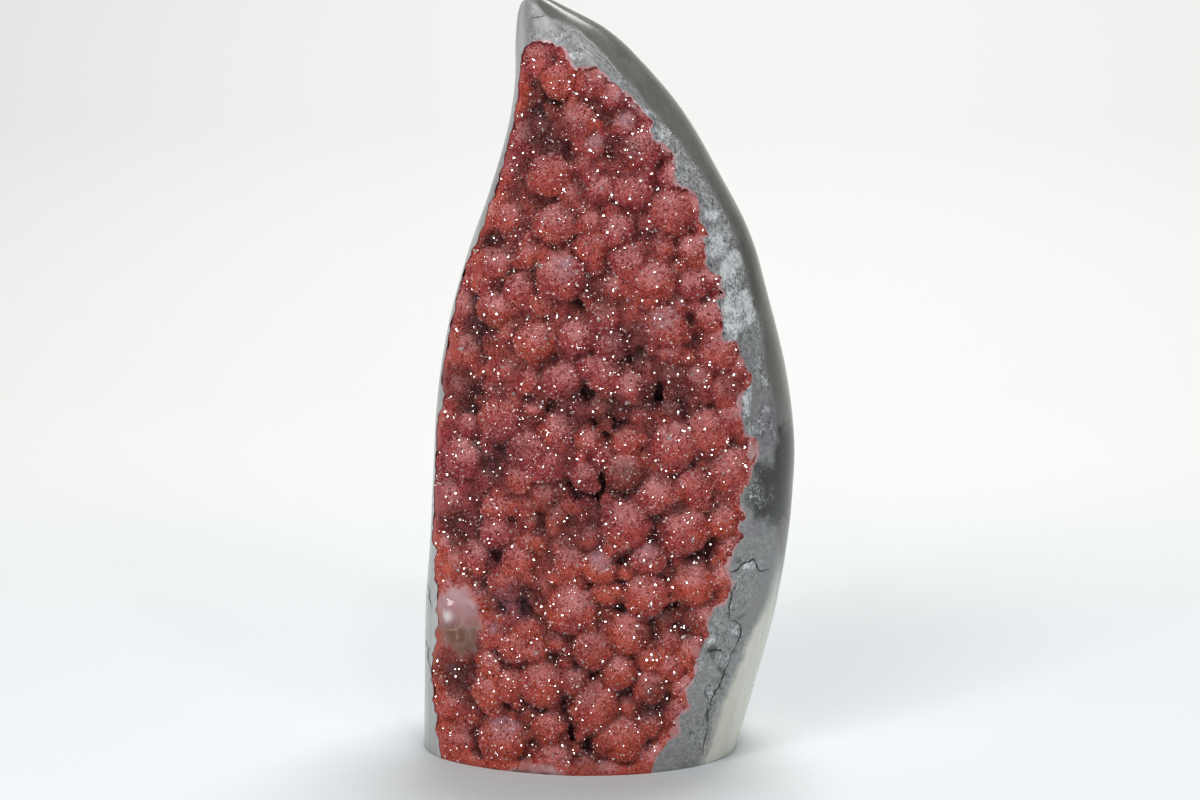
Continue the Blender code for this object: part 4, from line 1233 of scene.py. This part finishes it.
def hollowness(points):
    """How far points lie deeper than the average of what surrounds them, in mm."""
    across, rise = sight(points)
    rows, columns = MAP_SIZE
    column = np.clip(across + columns / 2, 0, columns - 1).astype(int)
    row = np.clip(rise + rows / 2, 0, rows - 1).astype(int)
    depth = np.clip(below_front(points) / MM, -2, MAP_DEPTH)
    nearest = np.full(MAP_SIZE, MAP_DEPTH)
    np.minimum.at(nearest, (row, column), depth)
    nearest[nearest > MAP_DEPTH - 0.1] = EMPTY_DEPTH
    up, right = np.meshgrid(np.fft.fftfreq(rows), np.fft.rfftfreq(columns), indexing="ij")
    hollow = depth * 0
    for width in HOLLOW_WIDTHS:
        blur = np.exp(-2 * (math.pi * width) ** 2 * (up ** 2 + right ** 2))
        average = np.fft.irfft2(np.fft.rfft2(nearest) * blur, s=nearest.shape)
        hollow += (depth - average[row, column]) / len(HOLLOW_WIDTHS)
    return hollow


def crust_fields(points, normals, hollow, inside):
    """Frost, painted highlight and painted shade, warmth, hollowness and the rest at points of the crust."""
    across, rise = sight(points)
    centres = ball_centres(BALLS)
    nearest = np.zeros(len(points), int)
    gap = np.full(len(points), 1.0)
    for index, (centre, ball) in enumerate(zip(centres, BALLS)):
        away = np.linalg.norm(points - centre, axis=1) - ball[2] * MM
        nearest[away < gap] = index
        gap = np.minimum(gap, away)
    random = np.random.default_rng(SEED + 6)
    levels = np.array([ball[4] for ball in BALLS]) / 9
    on_ball = smooth(1 - (gap - 0.0006) / 0.0012)
    # The tops of the balls that face up and toward the eye, where a highlight is painted
    outward = unit(points - centres[nearest])
    toward = 0.5 * UP - sight_lines(across, rise)
    lit_crown = (outward * toward).sum(1) / np.linalg.norm(toward, axis=1)
    warm = 0.65 * random.uniform(0, 1, len(BALLS))[nearest] + 0.55 * smooth((-20 - rise) / 60)
    warm -= 0.9 * spot_field([(*spot, 1) for spot in PINK], across, rise)
    right = smooth((across + steps_at(BORDER_START, rise)) / 12)
    return {
        "frost_level": levels[nearest] * on_ball + 0.25 * (1 - on_ball),
        "warm": warm,
        # Painted shade: hollows and deep places between the balls darken towards maroon
        "hollow": smooth((hollow + 0.7) / 4.6),
        "dusk": spot_field([(*spot[:2], spot[2] * 1.25, 1) for spot in HOLLOWS], across, rise),
        # Painted shade over the broad dusky places
        "gloom": spot_field(DUSKY, across, rise),
        # Painted highlight on the tops of the balls, and painted light on surfaces that face up
        "lit_crown": smooth((lit_crown - 0.45) / 0.55) * on_ball,
        "top_light": normals @ UP,
        "border": smooth((4.2 - inside) / 4) * right,
        "window": window_field(across, rise),
        "violet": spot_field([(*spot, 1) for spot in LAVENDER], across, rise),
    }


class AMETHYST_OT_crust(bpy.types.Operator):
    """Crust of joined crystal balls that fills the pocket of the shell"""
    bl_idname = "amethyst.crust"
    bl_label = "Crystal balls"

    def execute(self, context):
        settings = context.scene.amethyst_crust
        outline = crystal_outline()
        random = np.random.default_rng(SEED + 5)
        points, triangles = joined((crust_bed(settings, outline), spheres(BALLS, 4, random),
                                    spheres(WINDOW_BALLS, 4, random),
                                    spheres(bead_list(settings, outline), 3, random)))
        points[:, 2] = np.maximum(points[:, 2], 0)
        loose = add_object("loose_balls", mesh_from("loose_balls", points, triangles))
        together = loose.modifiers.new("join", "REMESH")
        together.mode = "VOXEL"
        together.voxel_size = settings.voxel
        blended = loose.modifiers.new("blend", "SMOOTH")
        blended.iterations = settings.blend
        whole = evaluated(loose)
        discard(loose)
        points, normals = mesh_points(whole)
        knobbles = soft_noise(points, 0.006, 30) + 0.8 * soft_noise(points, 0.0031, 31)
        knobbles += 0.5 * soft_noise(points, 0.0016, 32)
        knobbles *= 1 - window_field(*sight(points))
        points, cut = keep_behind_cuts(points + normals * (knobbles * settings.knobble)[:, None], outline)
        set_points(whole, points)
        set_field(whole, "cut", cut)
        whole.update()
        whole.name = FULL_CRUST
        whole.use_fake_user = True
        thinned = add_object("crust_fewer", whole.copy())
        fewer = thinned.modifiers.new("fewer", "DECIMATE")
        fewer.ratio = min(1.0, settings.triangles / sum(len(face.vertices) - 2 for face in whole.polygons))
        mesh = evaluated(thinned)
        discard(thinned)
        mesh.shade_smooth()
        points, normals = mesh_points(mesh)
        inside = -edge_distance(*sight(points), outline)
        for name, values in crust_fields(points, normals, hollowness(points), inside).items():
            set_field(mesh, name, values)
        place("druse_crust", mesh, crust_material(settings, "druse_red", False))
        return {"FINISHED"}


def window_colour(finish):
    """Pinkish chalcedony over brown, with one thin ring, frosted streaks and a painted highlight."""
    ramp, times = finish.ramp, finish.times
    middle = ball_centres(WINDOW_BALLS[:1])[0]
    here = finish.moved(finish.here, Location=tuple(-middle))
    x, _, z = finish.axes(here)
    slant = finish.fold("SUBTRACT", x, z)
    height = finish.plus(z, times(finish.noise(180, 3), 0.006))
    ring = ramp(finish.gap(finish.away(here, WINDOW_RING), RING_RADIUS), 0.0, 0.0004, 1.0, 0.0)
    streaks = finish.moved(here, Rotation=(0, math.radians(-40), 0), Scale=(1, 1, 0.3))
    streak = ramp(finish.noise(520, 4, 0.6, streaks), 0.5, 0.72, 0, 0.75)
    return finish.layers(WINDOW_BROWN, (ramp(height, -0.003, 0.004), WINDOW_ROSE),
                         (ramp(height, 0.002, 0.009), WINDOW_PINK),
                         # Painted highlight: a white spot on the window
                         (ramp(finish.away(here, WINDOW_HIGHLIGHT), 0.0032, 0.0004, 0, 0.9), WINDOW_WHITE),
                         (times(ring, ramp(slant, -0.002, 0.003, 0.0, 0.42)), WINDOW_RIM),
                         (times(streak, ramp(slant, -0.002, 0.012, 0.15, 1)), WINDOW_STREAK))


def crust_material(settings, name, grains):
    """Red quartz under pinkish frost, with painted highlights on the tops of the balls and on surfaces facing
    up, and painted shade in the hollows and dusky places; on sugar grains each grain has its own tone.
    """
    finish = Finish(name)
    ramp, times, plus, field = finish.ramp, finish.times, finish.plus, finish.field
    patches, broad, fine = finish.noise(190, 4, 0.6), finish.noise(60, 3, 0.55), finish.noise(2100, 2, 0.6)
    hollow, violet = field("hollow"), field("violet")
    warmth = plus(times(field("warm"), 0.45), patches, broad)
    colour = finish.layers(settings.crimson, (ramp(warmth, 0.85, 1.5), settings.core))
    # Painted highlight: the pale frost colour is laid thicker on ball tops facing up and toward the eye and
    # on surfaces facing up
    lit_crown = times(field("lit_crown"), plus(0.5, times(field("frost_level"), 0.95)))
    frost_and_highlight = plus(lit_crown, -0.25, finish.swing(fine, 1.3), finish.swing(patches, 1.2),
                    ramp(field("top_light"), -0.2, 0.8, -0.15, 0.15), times(field("border"), 0.6))
    if grains:
        tone = field("tone")
        frost_and_highlight = plus(frost_and_highlight, ramp(tone, 0.0, 1.0, -0.6, 1.1))
        colour = finish.layers(colour, (ramp(tone, 0.0, 0.45, 0.6, 0.0), GRAIN_SHADE))
    pale = finish.layers(settings.blush, (times(violet, ramp(patches, 0.3, 0.65, 0.1, 0.8)), settings.violet))
    # Painted shade in the hollows and deep places
    dusk = times(field("dusk"), ramp(patches, 0.25, 0.7, 0.35, 0.75), ramp(hollow, 0, 0.3))
    colour = finish.layers(colour, (ramp(frost_and_highlight, 0.0, 1.25, 0.0, 0.95), pale),
                           (finish.fold("MAXIMUM", times(hollow, 0.95), dusk), settings.deep),
                           # Painted shade over the dusky places, tinted violet where the frost is lavender
                           (times(field("gloom"), ramp(broad, 0.3, 0.7, 0.65, 1.0)),
                            finish.layers(settings.dusk, (violet, VIOLET_GLOOM))))
    if grains:
        # Painted glints: the grains that flash take a pale colour
        colour = finish.layers(colour, (finish.fold("GREATER_THAN", tone, FLASH_TONE - 0.1), GRAIN_FLASH))
        return finish.done(colour, ramp(fine, 0.3, 0.8, 0.07, 0.22), {**QUARTZ, **CRUST_SHEEN})
    cut = finish.layers(settings.cut, (ramp(patches, 0.4, 0.65), CUT_MILKY),
                        (ramp(fine, 0.45, 0.75, 0, 0.6), CUT_SPECK))
    colour = finish.layers(colour, (field("cut"), cut), (field("window"), window_colour(finish)))
    ground = finish.fold("MAXIMUM", field("cut"), field("window"))
    cells = finish.node("ShaderNodeTexVoronoi", {"Vector": finish.here, "Scale": 1500}).outputs["Distance"]
    normal = finish.bump(times(cells, finish.fold("SUBTRACT", 1.0, ground)), 0.6, 0.0003)
    return finish.done(colour, ramp(ground, 0.0, 1.0, 0.5, 0.1), {**QUARTZ, **CRUST_SHEEN, "Normal": normal})


def grain_map(mesh, count, corners_each):
    """A UV map that gives every grain its own small cell."""
    across = math.ceil(math.sqrt(count))
    cell = np.arange(count)
    corner = np.stack((cell % across, cell // across), axis=1) / across
    shape = np.array(((0.1, 0.1), (0.9, 0.1), (0.5, 0.9))) / across
    spots = np.repeat(corner, corners_each, axis=0) + np.tile(shape, (count * corners_each // 3, 1))
    layer = mesh.uv_layers.new(name="OFBake")
    layer.data.foreach_set("uv", spots.astype(np.float32).ravel())


class AMETHYST_OT_sugar(bpy.types.Operator):
    """Fine quartz sugar over every ball, as joined meshes of small pyramids"""
    bl_idname = "amethyst.sugar"
    bl_label = "Quartz sugar"

    def execute(self, context):
        settings = context.scene.amethyst_sugar
        random = np.random.default_rng(SEED + 2)
        whole = full_crust()
        points, normals = mesh_points(whole)
        cut = np.empty(len(points), np.float32)
        whole.attributes["cut"].data.foreach_get("value", cut)
        corners = np.empty(len(whole.polygons) * 4, np.int32)
        whole.loops.foreach_get("vertex_index", corners)
        points, normals, cut, hollow = [np.concatenate((values, values[corners.reshape(-1, 4)].mean(axis=1)))
                                        for values in (points, normals, cut, hollowness(points))]
        points += random.normal(0, GRAIN_SCATTER, points.shape)
        across, rise, depth, inside, facing = crust_view(points, normals)
        keep = (depth < GRAIN_DEPTH) & (inside > 0.0) & (cut < 0.4) & (facing > -0.35)
        keep &= (points[:, 2] > 0.0006) & (points[:, 0] > left_face_x(points) + 0.00025)
        keep &= window_field(across, rise) < random.uniform(0.05, 0.9, len(points)) ** 1.5
        roots, inside = points[keep], inside[keep]
        fields = crust_fields(roots, normals[keep], hollow[keep], inside)
        del fields["window"]
        count = len(roots)
        axes = unit(normals[keep] + random.normal(0, GRAIN_LEAN, (count, 3)))
        radius = settings.grain * random.lognormal(0, 0.24, count)
        flash = random.uniform(0, 1, count) < FLASH_SHARE
        radius *= np.where(flash, 1.2, 1) * np.where(random.uniform(0, 1, count) < LARGE_SHARE, 1.5, 1)
        height = radius * random.uniform(0.4, 1.05, count)
        height *= np.where(inside < 1.2, 0.5, 1)
        fields["tone"] = random.uniform(0, 1, count)
        fields["tone"][flash] = FLASH_TONE
        share = math.ceil(count / math.ceil(count * 4 / MOST_TRIANGLES))
        material = crust_material(context.scene.amethyst_crust, "sugar_quartz", True)
        for number, start in enumerate(range(0, count, share), 1):
            part = slice(start, start + share)
            some, triangles = pyramids(roots[part], axes[part], radius[part], height[part], 3, random)
            some[:, 2] = np.maximum(some[:, 2], 0.0002)
            mesh = mesh_from(f"sugar_{number}", some, triangles, False)
            for name, values in fields.items():
                set_field(mesh, name, np.repeat(values[part], 4))
            grain_map(mesh, len(roots[part]), 12)
            place(f"quartz_sugar_{number}", mesh, material)
        return {"FINISHED"}


class AMETHYST_OT_points(bpy.types.Operator):
    """Larger clear quartz points between the balls"""
    bl_idname = "amethyst.points"
    bl_label = "Quartz points"

    def execute(self, context):
        settings = context.scene.amethyst_sugar
        random = np.random.default_rng(SEED + 3)
        points, normals = mesh_points(full_crust())
        across, rise, depth, inside, facing = crust_view(points, normals)
        fit = (inside > 1.0) & (facing > 0.1) & (depth < 0.011) & (points[:, 2] > 0.002)
        options = np.flatnonzero(fit & (window_field(across, rise) < 0.1))
        chosen = random.choice(options, settings.points, replace=False)
        length = settings.point_size * random.uniform(0.45, 1.0, settings.points)
        spots = np.array(SINGLE_POINTS)
        away = [np.hypot(across[options] - right, rise[options] - up) for right, up, _ in spots]
        singles = [options[np.argmin(distance + depth[options] * 200)] for distance in away]
        chosen = np.concatenate((chosen, singles))
        length = np.concatenate((length, spots[:, 2] * MM))
        axes = unit(normals[chosen] + random.normal(0, 0.3, (len(chosen), 3)))
        radius = length * random.uniform(0.38, 0.5, len(chosen))
        some, triangles = pyramids(points[chosen], axes, radius, length * 0.72, 6, random)
        finish = Finish("clear_quartz")
        material = finish.done(finish.layers(POINT_TONES[0], (finish.noise(700), POINT_TONES[1])),
                               finish.ramp(finish.noise(1200), 0.4, 0.8, 0.02, 0.12),
                               {**QUARTZ, "Transmission Weight": 0.6})
        place("quartz_points", mesh_from("quartz_points", some, triangles, False), material)
        return {"FINISHED"}


class AMETHYST_OT_faces(bpy.types.Operator):
    """Bright crystal faces that catch the lights"""
    bl_idname = "amethyst.faces"
    bl_label = "Bright faces"

    def execute(self, context):
        settings = context.scene.amethyst_sugar
        random = np.random.default_rng(SEED + 8)
        points, normals = mesh_points(full_crust())
        across, rise, depth, inside, facing = crust_view(points, normals)
        fit = (inside > 0.8) & (facing > 0.25) & (depth < 0.009) & (points[:, 2] > 0.002)
        fit &= window_field(across, rise) < 0.3
        chosen = random.choice(np.flatnonzero(fit), settings.bright_faces * 6, replace=False)
        roots, axes = points[chosen], normals[chosen]
        lights = np.array([spot for spot, _, _ in KEY_LIGHTS])
        lights = lights[random.integers(0, len(KEY_LIGHTS), len(roots))]
        halfway = unit(unit(lights - roots) + unit(EYE - roots))
        ready = np.flatnonzero((halfway * axes).sum(1) > 0.55)[:settings.bright_faces]
        radius = random.uniform(*SMALL_FACE, len(ready))
        large = random.uniform(0, 1, len(ready)) < LARGE_FACES
        radius = np.where(large, random.uniform(*LARGE_FACE, len(ready)), radius)
        top = roots[ready] + axes[ready] * (FACE_LIFT + radius[:, None] * 0.6)
        mesh = mesh_from("bright_faces", *facets(top, halfway[ready], radius, random), False)
        finish = Finish("bright_quartz")
        material = finish.done(finish.layers(FACE_TONES[0], (finish.noise(300), FACE_TONES[1])),
                               finish.ramp(finish.noise(900), 0.3, 0.8, 0.08, 0.16), QUARTZ)
        place("bright_faces", mesh, material)
        return {"FINISHED"}


class AMETHYST_OT_cut_edge(bpy.types.Operator):
    """Pale sawn edge of the crust, level with the polished front"""
    bl_idname = "amethyst.cut_edge"
    bl_label = "Cut edge"

    def execute(self, context):
        outline = crystal_outline()
        random = np.random.default_rng(SEED + 4)
        along = unit(np.roll(outline, -1, axis=0) - np.roll(outline, 1, axis=0))
        inward = np.stack((along[:, 1], -along[:, 0]), axis=1)
        count = len(outline)
        waves = sum(np.sin(np.arange(count) * rate + random.uniform(0, 6)) for rate in (0.09, 0.23, 0.61))
        width = np.clip(0.55 + 0.4 * waves + random.uniform(-0.45, 0.45, count), 0.12, 2.3)
        width *= 0.12 + 0.88 * smooth((0.55 - inward[:, 0]) / 0.7)
        width *= 1 - smooth((-126 - outline[:, 1]) / 2)
        inner = outline + inward * width[:, None]
        outer = outline - inward * 0.15
        corners = (outer, EDGE_OUTER), (inner, EDGE_INNER), (inner, EDGE_REAR), (outer, EDGE_REAR)
        rows = [on_front(*ring.T) + sight_lines(*ring.T) * drop for ring, drop in corners]
        points = np.stack(rows, axis=1).reshape(-1, 3)
        points[:, 0] = np.maximum(points[:, 0], left_face_x(points) + 0.0001)
        points[:, 2] = np.maximum(points[:, 2], 0.0001)
        here = np.arange(count * 4).reshape(-1, 4)
        there = np.roll(here, -1, axis=0)
        quads = np.stack((here, np.roll(here, -1, axis=1), np.roll(there, -1, axis=1), there), axis=-1)
        mesh = turned_outward(mesh_from("cut_edge", points, quads.reshape(-1, 4)))
        mesh.set_sharp_from_angle(angle=math.radians(30))
        finish = Finish("cut_edge_quartz")
        patches, fine = finish.noise(260, 4, 0.6), finish.noise(1800, 3, 0.6)
        colour = finish.layers(EDGE_ROSE, (finish.ramp(patches, 0.35, 0.65), EDGE_PINK),
                               (finish.ramp(fine, 0.5, 0.75, 0, 0.6), EDGE_PALE))
        place("cut_edge", mesh, finish.done(colour, finish.ramp(fine, 0.3, 0.8, 0.12, 0.3), QUARTZ))
        return {"FINISHED"}


def ribbon(line, width, random):
    """A thin closed strip along a line on the front: points and quads."""
    line = np.array(line, float)
    for _ in range(3):
        step = line[1:] - line[:-1]
        middle = (line[1:] + line[:-1]) / 2
        middle += np.stack((-step[:, 1], step[:, 0]), axis=1) * random.uniform(-0.12, 0.12, (len(step), 1))
        line = np.insert(line, np.arange(1, len(line)), middle, axis=0)
    along = unit(np.gradient(line, axis=0))
    side = np.stack((-along[:, 1], along[:, 0]), axis=1)
    taper = np.sqrt(np.sin(np.linspace(0.05, math.pi - 0.05, len(line))))
    half = width * taper * random.uniform(0.25, 0.75, len(line))
    rows = []
    for offset, drop in ((-1, LINE_FRONT), (1, LINE_FRONT), (1, LINE_REAR), (-1, LINE_REAR)):
        ring = (line + side * (offset * half)[:, None]).T
        rows.append(on_front(*ring) + sight_lines(*ring) * drop)
    points = np.stack(rows, axis=1).reshape(-1, 3)
    start = np.arange(len(line) - 1)[:, None] * 4
    quads = [start + np.array((one, two, two + 4, one + 4)) for one, two in ((0, 1), (1, 2), (2, 3), (3, 0))]
    end = len(points) - 4
    caps = np.array(((3, 2, 1, 0), (end, end + 1, end + 2, end + 3)))
    return points, np.concatenate(quads + [caps])


class AMETHYST_OT_lines(bpy.types.Operator):
    """Dark cracks and pale bands in the polished shell, and a painted highlight along the rim's crease low on
    the right side
    """
    bl_idname = "amethyst.lines"
    bl_label = "Cracks and bands"

    def execute(self, context):
        random = np.random.default_rng(SEED + 7)
        for kind, name, colour, roughness in (("crack", "rim_cracks", CRACK_BLACK, 0.5),
                                              ("pale", "pale_bands_and_highlight", BAND_AND_HIGHLIGHT_GREY, 0.25)):
            points, quads = joined([ribbon(line, width, random) for width, line in LINES[kind]])
            finish = Finish(name)
            shade = finish.layers(colour, (finish.noise(600), tuple(0.6 * part for part in colour)))
            place(name, mesh_from(name, points, quads, False), finish.done(shade, roughness))
        return {"FINISHED"}


def area_light(name, position, target, size, power):
    """A soft light aimed at a point."""
    data = bpy.data.lights.new(name, "AREA")
    data.shape = "RECTANGLE"
    data.size, data.size_y = size
    data.energy = power
    light = add_object(name, data)
    light.location = position
    light.rotation_euler = (Vector(target) - Vector(position)).to_track_quat("-Z", "Y").to_euler()


def add_floor(settings):
    """A floor that curves up into a wall."""
    points = [(x, y, z - FLOOR_GAP) for y, z in FLOOR_PROFILE for x in (-FLOOR_HALF_WIDTH, FLOOR_HALF_WIDTH)]
    faces = [(low, low + 1, low + 3, low + 2) for low in range(0, len(points) - 2, 2)]
    floor = add_object("floor", mesh_from("floor", np.array(points), np.array(faces)))
    finish = Finish("studio_white")
    back = finish.ramp(finish.axes(finish.here)["Y"], 0.1, 0.45)
    floor.data.materials.append(finish.done(finish.layers(settings.floor, (back, settings.wall)), 0.8,
                                            {"Specular IOR Level": 0.1}))


class AMETHYST_OT_stage(bpy.types.Operator):
    """Pale floor and wall, soft studio light and camera"""
    bl_idname = "amethyst.stage"
    bl_label = "Stage"

    def execute(self, context):
        scene = context.scene
        settings = scene.amethyst_stage
        scene.view_settings.view_transform = "Standard"
        add_floor(settings)
        scene.world = bpy.data.worlds.new("studio")
        scene.world.use_nodes = True
        background = scene.world.node_tree.nodes["Background"]
        background.inputs["Color"].default_value = WORLD_COLOUR
        background.inputs["Strength"].default_value = WORLD_STRENGTH
        for number, (spot, size, power) in enumerate(KEY_LIGHTS, 1):
            area_light(f"key_{number}", spot, KEY_AIM, (size, size), power * settings.key)
        for light in SOFT_LIGHTS:
            area_light(*light)
        camera = add_object("camera", bpy.data.cameras.new("camera"))
        camera.data.lens = settings.lens
        camera.data.sensor_width = SENSOR_WIDTH
        camera.location = EYE
        camera.rotation_euler = (math.pi / 2 - SIGHT_TILT, 0, 0)
        scene.camera = camera
        return {"FINISHED"}


class AMETHYST_PT_panel(bpy.types.Panel):
    """Buttons that build the stone piece by piece"""
    bl_idname = "AMETHYST_PT_panel"
    bl_label = "Amethyst stone"
    bl_space_type = "VIEW_3D"
    bl_region_type = "UI"
    bl_category = "Amethyst"

    def draw(self, context):
        for operator in OPERATORS:
            self.layout.operator(operator.bl_idname)


GROUPS = {"amethyst_shell": AmethystShell, "amethyst_crust": AmethystCrust, "amethyst_sugar": AmethystSugar,
          "amethyst_stage": AmethystStage}
OPERATORS = (AMETHYST_OT_shell, AMETHYST_OT_crust, AMETHYST_OT_sugar, AMETHYST_OT_points,
             AMETHYST_OT_faces, AMETHYST_OT_cut_edge, AMETHYST_OT_lines, AMETHYST_OT_stage)


def register():
    """Add the settings, the operators and the panel."""
    for name, group in GROUPS.items():
        bpy.utils.register_class(group)
        setattr(bpy.types.Scene, name, bpy.props.PointerProperty(type=group))
    for shown in (*OPERATORS, AMETHYST_PT_panel):
        bpy.utils.register_class(shown)


def unregister():
    """Take them away again."""
    for shown in (AMETHYST_PT_panel, *reversed(OPERATORS)):
        bpy.utils.unregister_class(shown)
    for name, group in GROUPS.items():
        delattr(bpy.types.Scene, name)
        bpy.utils.unregister_class(group)


def main():
    """Build every piece in order."""
    register()
    bpy.ops.amethyst.stage()
    bpy.ops.amethyst.shell()
    bpy.ops.amethyst.crust()
    bpy.ops.amethyst.sugar()
    bpy.ops.amethyst.points()
    bpy.ops.amethyst.faces()
    bpy.ops.amethyst.cut_edge()
    bpy.ops.amethyst.lines()
    bpy.data.meshes.remove(full_crust())


if __name__ == "__main__":
    main()
